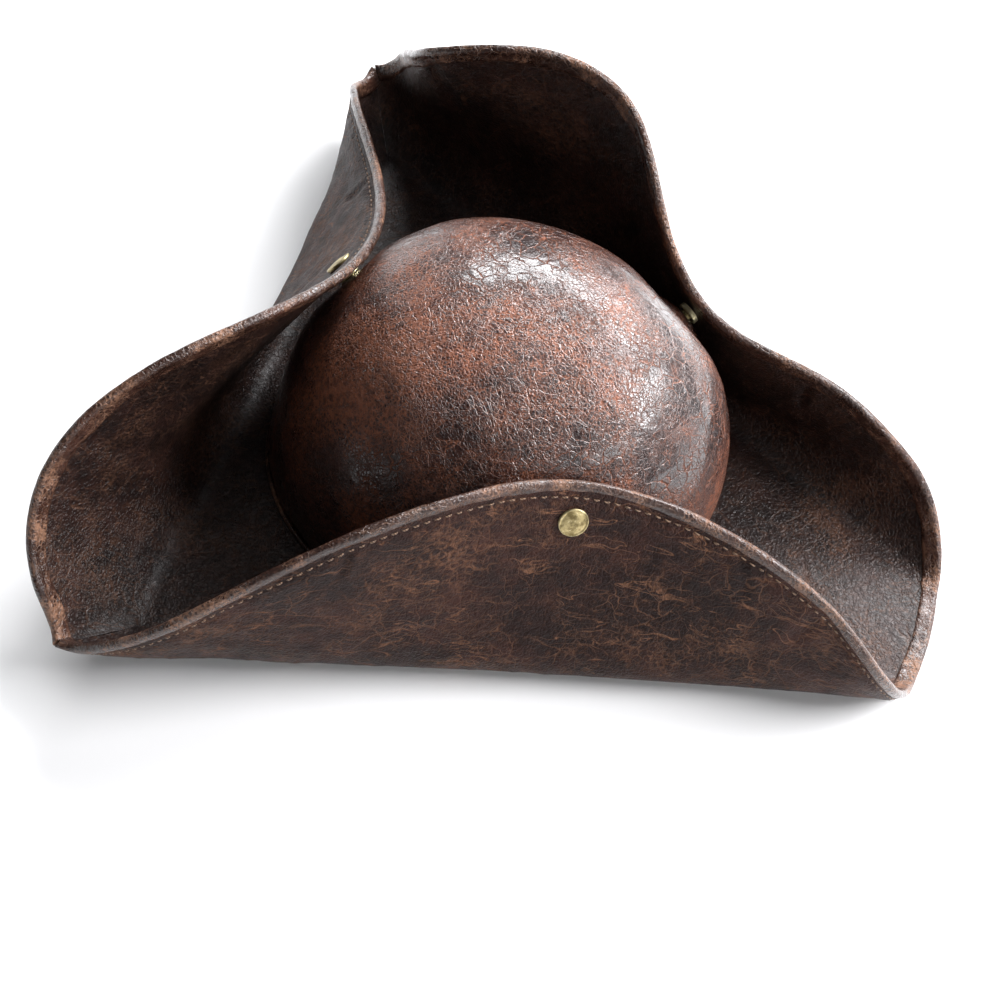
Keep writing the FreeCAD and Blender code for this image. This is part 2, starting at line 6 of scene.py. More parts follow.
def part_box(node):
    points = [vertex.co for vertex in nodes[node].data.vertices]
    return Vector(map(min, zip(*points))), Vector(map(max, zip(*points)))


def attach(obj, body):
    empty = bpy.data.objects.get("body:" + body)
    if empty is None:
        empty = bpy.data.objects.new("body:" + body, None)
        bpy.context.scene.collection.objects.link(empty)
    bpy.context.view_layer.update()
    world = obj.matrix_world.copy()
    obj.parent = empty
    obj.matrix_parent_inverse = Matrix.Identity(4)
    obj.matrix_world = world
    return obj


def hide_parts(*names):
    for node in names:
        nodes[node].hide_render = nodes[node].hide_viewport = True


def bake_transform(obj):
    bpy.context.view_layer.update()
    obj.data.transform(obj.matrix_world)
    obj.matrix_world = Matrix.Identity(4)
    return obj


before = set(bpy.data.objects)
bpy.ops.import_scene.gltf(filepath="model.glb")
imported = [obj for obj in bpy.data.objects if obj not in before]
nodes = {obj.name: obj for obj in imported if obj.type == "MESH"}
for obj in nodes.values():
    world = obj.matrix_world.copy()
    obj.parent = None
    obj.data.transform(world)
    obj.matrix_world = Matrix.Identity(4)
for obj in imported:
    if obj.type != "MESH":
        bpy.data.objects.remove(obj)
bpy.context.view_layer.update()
scene = bpy.context.scene

# ------------------------------------------------------------------ sheet geometry (mm), the same laws as the CAD
THICK, R0, AH = 3.4, 12.0, math.radians(45.0)
TH = R0 * AH
MITRE_GAP, BLEND, POINT = 0.12, 45.0, 14.0
STATIONS = np.array((-210, -180, -150, -100, -50, 0, 50, 100, 150, 180, 210), float)
TABLE = {
    "right": (-96.2, 92.2, (85.2, 85.2, 85.3, 93.1, 101.9, 112.5, 117.0, 112.3, 104.7, 99.0, 95.2),
              (70.7, 70.7, 70.5, 50.7, 35.2, 27.8, 25.2, 28.4, 41.9, 53.1, 60.6)),
    "left": (41.9, 96.1, (94.3, 93.7, 93.5, 99.3, 111.2, 102.1, 85.1, 95.5, 110.0, 92.0, 74.0),
             (70.7, 60.3, 48.1, 28.7, 17.1, 30.4, 53.4, 55.4, 50.0, 52.0, 54.0)),
    "back": (155.5, 106.7, (62.0, 74.0, 94.0, 118.5, 122.5, 118.7, 107.0, 84.6, 67.0, 74.0, 78.0),
             (54.0, 52.0, 43.8, 27.6, 16.8, 21.4, 41.1, 63.1, 78.0, 75.0, 74.0)),
}
SNAP_ALONG = {"right": 24.4, "left": -30.2, "back": -20.9}
CROWN = dict(a=101.0, b=86.0, turn=math.radians(166.8), top=120.4)


def spline(xs, ys):
    xs, ys = np.asarray(xs, float), np.asarray(ys, float)
    n = len(xs)
    a, c, d = np.zeros(n), np.zeros(n), np.zeros(n)
    for i in range(1, n - 1):
        lo, hi = xs[i] - xs[i - 1], xs[i + 1] - xs[i]
        rhs = 6 * ((ys[i + 1] - ys[i]) / hi - (ys[i] - ys[i - 1]) / lo)
        m = 2 * (lo + hi) - lo * c[i - 1]
        c[i] = hi / m
        d[i] = (rhs - lo * d[i - 1]) / m
    for i in range(n - 2, 0, -1):
        a[i] = d[i] - c[i] * a[i + 1]

    def f(x):
        x = np.clip(np.asarray(x, float), xs[0], xs[-1])
        i = np.clip(np.searchsorted(xs, x, side="left") - 1, 0, n - 2)
        w = xs[i + 1] - xs[i]
        p, q = xs[i + 1] - x, x - xs[i]
        return (a[i] * p ** 3 / (6 * w) + a[i + 1] * q ** 3 / (6 * w)
                + (ys[i] / w - a[i] * w / 6) * p + (ys[i + 1] / w - a[i + 1] * w / 6) * q)
    return f


def profile(g, tau, t):
    g, tau, t = np.broadcast_arrays(np.asarray(g, float), np.asarray(tau, float), np.asarray(t, float))
    tc = np.clip(t, 0, TH)
    o, z = R0 * np.sin(tc / R0), R0 * (1 - np.cos(tc / R0))
    h = np.clip(t - TH, 0, None) / 24.0
    for i in range(24):
        q = np.minimum(((i + 0.5) * h) / tau, 1.0)
        al = AH + (g - AH) * np.sin(q * math.pi / 2)
        o = o + h * np.cos(al)
        z = z + h * np.sin(al)
    return np.where(t < 0, t, o), z


def smooth(x):
    x = np.clip(x, 0.0, 1.0)
    return x * x * (3 - 2 * x)


ang = np.radians(np.arange(720) * 0.5)
rr = 1 + (-9.1 * np.cos(3 * ang) - 8.2 * np.sin(3 * ang) + 6.8 * np.cos(4 * ang) - 5.9 * np.sin(4 * ang)) / 205.0
OUTLINE = np.stack([-6.5 + 208.2 * rr * np.cos(ang), 9.1 + 218.4 * rr * np.sin(ang)], 1)


class Flap:
    def __init__(self, side):
        self.side = side
        turn, self.d, lean, bend = TABLE[side]
        psi = math.radians(turn)
        self.n = np.array((math.cos(psi), math.sin(psi), 0))
        self.tg = np.array((-math.sin(psi), math.cos(psi), 0))
        self.lean, self.bend = spline(STATIONS, lean), spline(STATIONS, bend)
        p = OUTLINE @ self.n[:2]
        k = p > self.d - 3
        e = np.stack([OUTLINE[k] @ self.tg[:2], p[k] - self.d], 1)
        self.edge = e[np.argsort(e[:, 0])]

    def height(self, s):
        return np.interp(s, self.edge[:, 0], self.edge[:, 1])


F = {k: Flap(k) for k in TABLE}
CORNERS = {"front": ("right", "left", 96.0, 56.0), "rear_right": ("back", "right", 78.0, 74.0),
           "rear_left": ("left", "back", 74.0, 54.0)}


def crossing(a, b):
    det = a.n[0] * b.n[1] - a.n[1] * b.n[0]
    return np.array(((a.d * b.n[1] - b.d * a.n[1]) / det, (a.n[0] * b.d - b.n[0] * a.d) / det, 0))


for name, (hi, lo, g, tau) in CORNERS.items():
    a, b = F[hi], F[lo]
    g = math.radians(g)
    vertex = crossing(a, b)
    inside = name != "front"
    half = math.acos(max(-1, min(1, float(a.n @ b.n)))) / 2
    tn = math.tan(half) if inside else -0.35
    starts = []
    for f, sign in ((a, 1), (b, -1)):
        if inside:
            starts.append(float(vertex @ f.tg))
        else:
            s = 0.0
            while f.height(s) > POINT:
                s += 0.5 * sign
            starts.append(s + 0.35 * sign * float(profile(g, tau, POINT)[0]))
    top = POINT
    if inside:
        tops = []
        for f, s0, sign in ((a, starts[0], 1), (b, starts[1], -1)):
            t = 4.0
            while f.height(s0 + sign * tn * float(profile(g, tau, t)[0])) > t and t < 60:
                t += 0.25
            tops.append(t)
        top = {"rear_right": 34.0, "rear_left": 38.0}[name]
    mitre = (a.n - b.n) / np.linalg.norm(a.n - b.n) if inside else None
    bis = (a.n + b.n) / np.linalg.norm(a.n + b.n)
    gap = MITRE_GAP if inside else 0.0
    a.high = (starts[0], tn, g, tau, top, gap)
    b.low = (starts[1], tn, g, tau, top, gap)
    a.high_mitre = b.low_mitre = (mitre, bis, vertex)


def bound(f, t, sign, gapped=True):
    s0, tn, g, tau, top, gap = f.high if sign > 0 else f.low
    return s0 + sign * (tn * np.clip(profile(g, tau, t)[0], 0, None) - (gap if gapped else 0.0))


def wall(f, s, t):
    g, tau = np.radians(f.lean(s)), np.maximum(f.bend(s), 14.0)
    for sign in (1, -1):
        c = f.high if sign > 0 else f.low
        bb = bound(f, t, sign, False)
        w = 1 - smooth(np.abs(s - bb) / BLEND)
        w = np.where(sign * (s - bb) > 0, 1.0, w)
        g, tau = g * (1 - w) + c[2] * w, tau * (1 - w) + c[3] * w
    o, z = profile(g, tau, t)
    p = f.n * (f.d + o)[..., None] + f.tg * s[..., None]
    p[..., 2] = z + THICK
    return p


TRIM = {  # small corrections of the rim's height: distance along the flap, millimetres
    "left": ((-200, 0), (125, 0), (137, -2), (143, -5), (150, -9), (156, -12), (162, -15), (169, -18), (175, -19), (182, -18), (188, -11), (195, -2), (210, 0)),
    "back": ((-210, 0), (210, 0)), "right": ((-210, 0), (-60, 0), (-20, -3), (10, -3.4), (50, -3), (80, -0.5), (110, 3), (130, 4.5), (150, 5), (165, 4), (180, 0), (210, 0))}


def rim(f, s):
    t = f.height(s) + np.interp(s, [a for a, b in TRIM[f.side]], [b for a, b in TRIM[f.side]])
    for sign in (1, -1):
        c = f.high if sign > 0 else f.low
        if (f.high_mitre if sign > 0 else f.low_mitre)[0] is None:
            continue
        w = 1 - smooth(np.abs(s - float(bound(f, c[4], sign))) / 16.0)
        t = t * (1 - w) + c[4] * w
    return np.maximum(t, 1.2)


def ends(f):
    # where the flap's rim starts and ends: at the tips behind, and where the outline meets the fold in front
    out = []
    for sign in (-1, 1):
        c = f.high if sign > 0 else f.low
        if (f.high_mitre if sign > 0 else f.low_mitre)[0] is None:
            s = 0.0
            while f.height(s) > 1.2:
                s += 0.25 * sign
            out.append((s, False))
        else:
            out.append((float(bound(f, c[4], sign)), True))
    return out


def round_corner(f, p, t):
    # softens the crease of the two rear corners: the sheet turns there with a small radius
    for key in ("low_mitre", "high_mitre"):
        m, bis, vertex = getattr(f, key)
        if m is None:
            continue
        sgn = 1.0 if float(((f.n * f.d) - vertex) @ m) > 0 else -1.0
        x = np.abs((p - vertex) @ m)
        r = 3.2 + 4.5 * smooth((34.0 - t) / 30.0)
        amt = 1.15 * (np.sqrt(x * x + r * r) - x) * (1 - smooth(x / 34.0)) * smooth(t / 9.0)
        p = p - bis * amt[..., None]
    return p


# ------------------------------------------------------------------ smooth value noise, the same every run
def lattice(ix, iy, iz, seed):
    h = (ix * 374761393 + iy * 668265263 + iz * 2147483647 + seed * 1274126177) & 0xFFFFFFFF
    h = ((h ^ (h >> 13)) * 1274126177) & 0xFFFFFFFF
    h = h ^ (h >> 16)
    return (h & 0xFFFFFF) / float(0xFFFFFF)


def noise(p, scale, seed=0):
    # p in mm, scale = wavelength in mm, result about -1..1
    q = np.asarray(p, float) / scale + 1000.0
    i = np.floor(q).astype(np.int64)
    f = q - i
    u = f * f * f * (f * (f * 6 - 15) + 10)
    out = 0
    for dx in (0, 1):
        for dy in (0, 1):
            for dz in (0, 1):
                w = ((u[..., 0] if dx else 1 - u[..., 0]) * (u[..., 1] if dy else 1 - u[..., 1])
                     * (u[..., 2] if dz else 1 - u[..., 2]))
                out = out + w * lattice(i[..., 0] + dx, i[..., 1] + dy, i[..., 2] + dz, seed)
    return out * 2 - 1


def st(x, y, z=0.0):
    x, y = np.broadcast_arrays(np.asarray(x, float), np.asarray(y, float))
    return np.stack([x, y, np.full(x.shape, z)], -1)


def fold_line(s, t, s0, t0, s1, t1, width, depth):
    # a single soft crease between two points of the sheet
    d = np.array((s1 - s0, t1 - t0), float)
    L = np.hypot(*d)
    d /= L
    along = (s - s0) * d[0] + (t - t0) * d[1]
    side = -(s - s0) * d[1] + (t - t0) * d[0]
    side = side + 1.2 * np.sin(along / 7.0)
    ends = smooth(along / 6.0) * smooth((L - along) / 6.0)
    return depth * ends * (np.exp(-(side / width) ** 2) - 0.35 * np.exp(-((np.abs(side) - 2.4 * width) / width) ** 2))


CREASES_OUT = {  # s, distance below the rim
    "right": ((-62, 2, -66, 20, 1.6, -1.2), (-120, 6, -104, 30, 2.0, -0.6), (92, 3, 99, 24, 1.8, -0.7),
              (128, 4, 120, 30, 2.2, -0.6), (-20, 40, 10, 70, 2.6, -0.45), (60, 30, 84, 60, 2.6, -0.4)),
    "left": ((-90, 3, -84, 24, 1.8, -0.8), (10, 4, 4, 26, 1.8, -0.7), (70, 4, 82, 30, 2.0, -0.7), (120, 3, 112, 26, 1.8, -0.7)),
    "back": ((-84, 3, -80, 26, 1.8, -0.8), (20, 4, 26, 28, 1.8, -0.7), (88, 4, 80, 30, 2.0, -0.7), (-40, 30, -20, 60, 2.4, -0.4)),
}
CREASES_IN = {
    "right": ((-118, 4, -112, 34, 2.0, -0.9), (96, 4, 102, 30, 2.0, -0.8), (40, 6, 46, 34, 2.2, -0.7)),
    "left": ((-24, 6, -16, 40, 2.0, -0.8), (-92, 4, -88, 34, 2.0, -0.9), (98, 6, 104, 44, 2.0, -1.1), (136, 4, 128, 40, 2.2, -1.0),
             (70, 8, 62, 48, 2.4, -0.9)),
    "back": ((-96, 5, -100, 42, 2.2, -1.1), (-118, 5, -126, 44, 2.0, -1.0), (-70, 8, -74, 52, 2.4, -0.9), (60, 4, 66, 40, 2.0, -0.8),
             (100, 4, 92, 40, 2.2, -0.9)),
}


def calm(f, s, t, top):
    # the sheet lies quietly round its press stud and at the fold's start
    ss = SNAP_ALONG[f.side]
    r = np.hypot(s - ss, t - (float(f.height(ss)) - 19.0))
    return smooth((r - 8.0) / 12.0)


def bump_out(f, s, t, top):
    below = top - t
    q = st(s, t, 7.0 * len(f.side))
    h = 1.1 * noise(q, 62, 3) + 0.55 * noise(q, 27, 4)
    ridged = 1 - np.abs(noise(q + 6 * noise(q, 30, 9)[..., None], 17, 5)) * 2
    h = h + 0.22 * np.clip(ridged, 0, 1) ** 3 + 0.14 * noise(q, 8, 6)
    for c in CREASES_OUT[f.side]:
        h = h + fold_line(s, below, *c)
    h = h * calm(f, s, t, top) * smooth((t + 30) / 40.0)
    groove = -0.42 * np.exp(-((below - 4.8) / 0.8) ** 2) - 0.3 * np.exp(-((below - 6.9) / 0.6) ** 2)
    puff = 0.25 * smooth(below / 3) * (1 - smooth((below - 9) / 10.0))
    r = np.hypot(s - SNAP_ALONG[f.side], t - (float(f.height(SNAP_ALONG[f.side])) - 19.0))
    taper = -0.9 * (1 - smooth(below / 8.5))
    dimple = -0.35 * np.exp(-((r - 7.2) / 1.6) ** 2)
    return (h * smooth((below - 1.0) / 6.0) + groove + puff + taper) * smooth((t - 2) / 8.0) + (dimple + 0.08 * noise(q, 5, 8)) * smooth(t / 6.0)


def bump_in(f, s, t, top):
    below = top - t
    q = st(s, t, 40 + 7.0 * len(f.side))
    h = 0.5 * noise(q, 50, 13) + 0.35 * noise(st(s, t * 0.35, 3), 12, 14) * smooth((t - 6) / 25.0)
    ridged = 1 - np.abs(noise(st(s + 5 * noise(q, 25, 9), t * 0.3, 3), 14, 15)) * 2
    h = h + 0.5 * np.clip(ridged, 0, 1) ** 3 * smooth((t - 4) / 25.0)
    for c in CREASES_IN[f.side]:
        h = h + fold_line(s, below, *c)
    return h * calm(f, s, t, top) * smooth(t / 20.0) * smooth((below - 2.0) / 8.0) + 0.06 * noise(q, 5, 18) * smooth(t / 6.0)


# ------------------------------------------------------------------ mesh helpers
def finish_mesh(name, verts, faces, attrs=None, smooth_faces=True, recalc=True):
    me = bpy.data.meshes.new(name)
    me.from_pydata([tuple(v) for v in np.asarray(verts, float) * 0.001], [], faces)
    me.update()
    if recalc:
        bm = bmesh.new()
        bm.from_mesh(me)
        bmesh.ops.recalc_face_normals(bm, faces=bm.faces)
        bm.to_mesh(me)
        bm.free()
    if smooth_faces:
        me.polygons.foreach_set("use_smooth", [True] * len(me.polygons))
        me.set_sharp_from_angle(angle=math.radians(52))
    for key, val in (attrs or {}).items():
        at = me.attributes.new(key, "FLOAT_VECTOR", "POINT")
        at.data.foreach_set("vector", (np.asarray(val, float).reshape(-1, 3) * 0.001).astype(np.float32).ravel())
    me.update()
    ob = bpy.data.objects.new(name, me)
    scene.collection.objects.link(ob)
    return ob


def grid_faces(nu, nv, offset=0, flip=False, wrap_u=False, wrap_v=False):
    out = []
    for i in range(nu if wrap_u else nu - 1):
        i2 = (i + 1) % nu
        for j in range(nv if wrap_v else nv - 1):
            j2 = (j + 1) % nv
            q = (offset + i * nv + j, offset + i2 * nv + j, offset + i2 * nv + j2, offset + i * nv + j2)
            out.append(q[::-1] if flip else q)
    return out


def slab(name, A, B, flatA, flatB, wrap_u=False):
    # closed sheet between two matching grids
    nu, nv = A.shape[:2]
    n = nu * nv
    faces = grid_faces(nu, nv, 0, False, wrap_u) + grid_faces(nu, nv, n, True, wrap_u)
    rng = range(nu if wrap_u else nu - 1)
    for j in (0, nv - 1):
        for i in rng:
            i2 = (i + 1) % nu
            faces.append((i * nv + j, i2 * nv + j, n + i2 * nv + j, n + i * nv + j))
    if not wrap_u:
        for i in (0, nu - 1):
            for j in range(nv - 1):
                faces.append((i * nv + j, i * nv + j + 1, n + i * nv + j + 1, n + i * nv + j))
    verts = np.concatenate([A.reshape(-1, 3), B.reshape(-1, 3)])
    flat = np.concatenate([flatA.reshape(-1, 3), flatB.reshape(-1, 3)])
    return finish_mesh(name, verts, faces, {"flat": flat})


def tube(name, path, sections, closed=False, coord=None):
    # loft of closed cross sections: sections has shape (n, m, 3)
    n, m = sections.shape[:2]
    verts = sections.reshape(-1, 3)
    faces = grid_faces(n, m, 0, False, closed, True)
    if not closed:
        faces.append(tuple(range(m)))
        faces.append(tuple((n - 1) * m + k for k in range(m))[::-1])
    return finish_mesh(name, verts, faces, {"flat": coord} if coord is not None else None)


def crown_oval(theta, scale=1.0, inset=0.0):
    c, s = np.cos(theta), np.sin(theta)
    x, y = (CROWN["a"] - inset) * scale * c, (CROWN["b"] - inset) * scale * s
    ct, sn = math.cos(CROWN["turn"]), math.sin(CROWN["turn"])
    return x * ct - y * sn, x * sn + y * ct


def lean_at(z):
    k = np.clip((z - 3.4) / 117.0, 0, 1)
    return 1.2 + 6.0 * k, -0.6 - 2.0 * k


# ------------------------------------------------------------------ brim sheets
def sector(f, side, quality=1.0):
    nu = int(300 * quality) + 1
    u = np.linspace(0, 1, nu)
    # finer spacing near both ends of the flap is switched off: the spacing stays even
    u = 0.5 - 0.5 * np.cos(math.pi * u) * (0.45 + 0.55 * np.abs(np.cos(math.pi * u)) ** 0.0) if False else u
    (s_lo, mitred_lo), (s_hi, mitred_hi) = ends(f)
    s_top = (1 - u) * s_lo + u * s_hi
    top = rim(f, s_top)
    # rows: first the roll, then the wall, then fine rows under the rim
    nw = int(46 * quality)
    fr = np.linspace(0, 1, nw + 1)[1:]
    rows_t = []
    for i in range(nu):
        a1 = min(TH, 0.3 * top[i])
        a2 = max(top[i] - 9.5, a1 + 0.45 * (top[i] - a1))
        rows_t.append(np.concatenate([np.linspace(0, a1, 9), a1 + fr * (a2 - a1), a2 + (top[i] - a2) * np.linspace(0, 1, 15)[1:]]))
    T = np.array(rows_t)
    v = T / top[:, None]
    S = np.zeros_like(T)
    for sign, w, e, mitred in ((-1, 1 - u, s_lo, mitred_lo), (1, u, s_hi, mitred_hi)):
        c = f.high if sign > 0 else f.low
        S += w[:, None] * (bound(f, v * c[4], sign) if mitred else e)
    W = wall(f, S, T)
    W = round_corner(f, W, T)
    # floor rows from inside the crown out to the fold
    foldp = W[:, 0, :]
    cx, cy = 4.0, -2.0
    ct, sn = math.cos(CROWN["turn"]), math.sin(CROWN["turn"])
    dx, dy = foldp[:, 0] - cx, foldp[:, 1] - cy
    lx, ly = dx * ct + dy * sn, -dx * sn + dy * ct
    k = 1.0 / np.sqrt((lx / (CROWN["a"] - 2.6)) ** 2 + (ly / (CROWN["b"] - 2.6)) ** 2)
    inner = np.stack([cx + dx * k, cy + dy * k, np.full(nu, THICK)], -1)
    nf = max(6, int(22 * quality))
    w = np.linspace(0, 1, nf + 1)[:-1]
    FL = inner[:, None, :] * (1 - w)[None, :, None] + foldp[:, None, :] * w[None, :, None]
    P = np.concatenate([FL, W], 1)
    tf = (FL @ f.n) - f.d
    sf = FL @ f.tg
    S, T = np.concatenate([sf, S], 1), np.concatenate([tf, T], 1)
    return u, S, T, P, top


def normals(P, f):
    du = np.gradient(P, axis=0)
    dv = np.gradient(P, axis=1)
    n = np.cross(du, dv)
    n /= np.linalg.norm(n, axis=-1, keepdims=True) + 1e-12
    mid = n[n.shape[0] // 2, 2]
    if mid[2] < 0:
        n = -n
    return n


def offsets(P, f, T):
    # offset direction: the surface normal, turned into the mitre plane at the two rear corners
    n = normals(P, f)
    for key, idx in (("low_mitre", 0), ("high_mitre", -1)):
        m, bis, vertex = getattr(f, key)
        if m is None:
            continue
        d = np.abs((P - vertex) @ m)
        w = (1 - smooth(d / 7.0))[..., None]
        a = n[idx] @ m
        inplane = (n[idx] - a[:, None] * m) / np.maximum(1 - a * a, 0.45)[:, None]
        # the mitre rows lend their direction to the neighbouring rows
        n = n * (1 - w) + inplane[None, :, :] * w
    return n


def flat_xy(f, S, T, z):
    p = f.n * (f.d + T)[..., None] + f.tg * S[..., None]
    p[..., 2] = z
    return p


BLENDS = {}


def join_blend(ob):
    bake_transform(ob)


brim = {}
for side, f in F.items():
    u, S, T, P, top = sector(f, side, 1.0)
    N = offsets(P, f, T)
    topc = top[:, None]
    din = bump_in(f, S, T, topc)
    dout = bump_out(f, S, T, topc)
    mid_h = 1.75
    inner_face = P + N * np.clip(din, -1.2, 1.6)[..., None]
    inner_back = P - N * (mid_h - 0.05)
    outer_face = P - N * (THICK + np.clip(dout, -1.3, 2.2))[..., None]
    outer_back = P - N * (mid_h + 0.05)
    fa = flat_xy(f, S, T, 0.0)
    fb = flat_xy(f, S, T, 300.0)
    brim[side] = dict(u=u, S=S, T=T, P=P, N=N, top=top, outer=outer_face, inner=inner_face)
    o1 = slab(side + "_brim_inner_leather", inner_face, inner_back, fa, fa + 5)
    o2 = slab(side + "_brim_outer_leather", outer_face, outer_back, fb, fb + 5)
    brim[side]["o_in"], brim[side]["o_out"] = o1, o2


# ------------------------------------------------------------------ rolled rim with its folded hem
def section_points(w_hem, bead):
    # (outward, up) of the loop, starting at the hem's lower edge on the inner face
    k = bead
    return np.array([(-0.25, -w_hem), (-0.95, -w_hem + 0.9), (-1.05, -w_hem * 0.62), (-0.95, -w_hem * 0.3), (-1.05, -1.0),
                     (-1.15 * k, 0.25), (-0.55 * k, 1.45 * k), (0.55, 2.15 * k), (1.8, 2.35 * k), (3.05, 2.1 * k),
                     (4.1 * k, 1.25 * k), (4.5 * k, 0.0), (4.35 * k, -1.2), (3.9 * k, -2.2), (3.3, -2.9), (2.2, -2.6),
                     (1.4, -3.5), (0.9, -w_hem * 0.6), (0.6, -w_hem)]) * np.array((0.8, 1.0)) - np.array((0.05, 0.0))


def resample(p, arrays, step):
    d = np.concatenate([[0], np.cumsum(np.linalg.norm(np.diff(p, axis=0), axis=1))])
    n = max(8, int(d[-1] / step))
    x = np.linspace(0, d[-1], n)
    return x, [np.stack([np.interp(x, d, a[:, k]) for k in range(3)], 1) for a in arrays]


def soften(a, times, fixed=True):
    a = a.copy()
    for _ in range(times):
        a[1:-1] = 0.25 * a[:-2] + 0.5 * a[1:-1] + 0.25 * a[2:]
    return a


def catmull(loop, per=2):
    n = len(loop)
    out = []
    for i in range(n):
        p0, p1, p2, p3 = loop[(i - 1) % n], loop[i], loop[(i + 1) % n], loop[(i + 2) % n]
        for k in range(per):
            t = k / per
            out.append(0.5 * ((2 * p1) + (-p0 + p2) * t + (2 * p0 - 5 * p1 + 4 * p2 - p3) * t * t + (-p0 + 3 * p1 - 3 * p2 + p3) * t ** 3))
    return np.array(out)


def rim_frames(p, n, out, turn_soft, step=1.4, marks=()):
    """One smooth free edge: path, inward-facing normal and the direction that leaves the sheet. marks are row
    numbers of p, given back as row numbers of the resampled path."""
    d = np.concatenate([[0], np.cumsum(np.linalg.norm(np.diff(p, axis=0), axis=1))])
    x, (p, n, out) = resample(p, (p, n, out), step)
    back = [int(np.argmin(np.abs(x - d[m]))) for m in marks]
    p[1:-1] = soften(p, turn_soft)[1:-1]
    n, out = soften(n, 5), soften(out, 5)
    n /= np.linalg.norm(n, axis=1, keepdims=True)
    tan = np.gradient(p, axis=0)
    tan /= np.linalg.norm(tan, axis=1, keepdims=True)
    up = np.cross(n, tan)
    up *= np.sign(np.sum(up * out, 1, keepdims=True))
    up /= np.linalg.norm(up, axis=1, keepdims=True)
    return x, p, n, up, back


def rim_binding(name, x, p, n, up, seed, hem=6.2):
    secs, coord = [], []
    for i in range(len(x)):
        q = np.array((x[i], 0.0, seed * 50.0))
        wv = float(noise(q, 11, 31 + seed)) * 0.6 + float(noise(q, 4.5, 33)) * 0.28
        bead = 1.0 + 0.08 * float(noise(q, 16, 35)) + 0.04 * float(noise(q, 5, 36))
        sec = catmull(section_points(hem + wv, bead * 0.9), 2)
        # puckers run across the hem: ridges every few millimetres
        k = np.arange(len(sec))
        hemside = np.exp(-((k - 6) / 6.0) ** 2)
        pk = 0.26 * float(noise(q, 3.4, 37)) + 0.30 * float(noise(q, 7.5, 38))
        sec = sec + np.stack([-hemside * pk, np.zeros(len(sec))], 1)
        secs.append(p[i] - n[i] * sec[:, :1] + up[i] * sec[:, 1:])
        arc = np.concatenate([[0], np.cumsum(np.linalg.norm(np.diff(sec, axis=0), axis=1))])
        coord.append(np.stack([np.full(len(sec), x[i]), arc, np.full(len(sec), 100.0 * seed)], 1))
    secs, coord = np.array(secs), np.array(coord)
    return tube(name, p, secs, False, coord.reshape(-1, 3))


# ------------------------------------------------------------------ front tongue of the floor
nf_row = int(np.argmax(brim["right"]["T"][-1] > -1e-6))
nf_row_l = int(np.argmax(brim["left"]["T"][0] > -1e-6))
edgeA, edgeB = brim["right"]["P"][-1][nf_row], brim["left"]["P"][0][nf_row_l]
right, left = F["right"], F["left"]
ins = (OUTLINE @ right.n[:2] < right.d) & (OUTLINE @ left.n[:2] < left.d) & (OUTLINE[:, 0] > 100)
arc_pts = OUTLINE[ins]
arc_pts = arc_pts[np.argsort(np.arctan2(arc_pts[:, 1], arc_pts[:, 0]))]
arc_pts = np.concatenate([[edgeA[:2]], arc_pts[1:-1], [edgeB[:2]]])
da = np.concatenate([[0], np.cumsum(np.linalg.norm(np.diff(arc_pts, axis=0), axis=1))])
nt = 33
xa = np.linspace(0, da[-1], nt)
E = np.stack([np.interp(xa, da, arc_pts[:, 0]), np.interp(xa, da, arc_pts[:, 1])], 1)
ct, sn = math.cos(CROWN["turn"]), math.sin(CROWN["turn"])
dx, dy = E[:, 0] - 4.0, E[:, 1] + 2.0
lx, ly = dx * ct + dy * sn, -dx * sn + dy * ct
kk = 1.0 / np.sqrt((lx / (CROWN["a"] - 2.6)) ** 2 + (ly / (CROWN["b"] - 2.6)) ** 2)
foot = np.stack([4.0 + dx * kk, -2.0 + dy * kk], 1)
ww = np.linspace(0, 1, 25)
tongue = np.zeros((nt, 25, 3))
tongue[..., :2] = foot[:, None, :] * (1 - ww)[None, :, None] + E[:, None, :] * ww[None, :, None]
wt = np.linspace(0, 1, nt)
q = st(tongue[..., 0], tongue[..., 1], 5)
up_z = 0.3 * noise(q, 22, 51) * smooth(ww * 2)[None, :] * (4 * wt * (1 - wt))[:, None]
top_face = tongue.copy(); top_face[..., 2] = THICK + up_z
mid_a = tongue.copy(); mid_a[..., 2] = 1.7
mid_b = tongue.copy(); mid_b[..., 2] = 1.6
low_face = tongue.copy(); low_face[..., 2] = 0.0
ft = tongue.copy(); ft[..., 2] = 0
fb2 = tongue.copy(); fb2[..., 2] = 300
tongue_in = slab("front_tongue_inner_leather", top_face, mid_a, ft, ft + 5)
tongue_out = slab("front_tongue_outer_leather", low_face, mid_b, fb2, fb2 + 5)

# the free edge runs unbroken from the rear right tip round the front point to the rear left tip
Ez = np.concatenate([E, np.full((nt, 1), THICK)], 1)
eo = np.gradient(E, axis=0)
eo = np.stack([eo[:, 1], -eo[:, 0], np.zeros(nt)], 1)
eo /= np.linalg.norm(eo, axis=1, keepdims=True)


def rim_of(side):
    P, N = brim[side]["P"], brim[side]["N"]
    up = P[:, -1] - P[:, -4]
    return P[:, -1], N[:, -1], up / np.linalg.norm(up, axis=-1, keepdims=True)


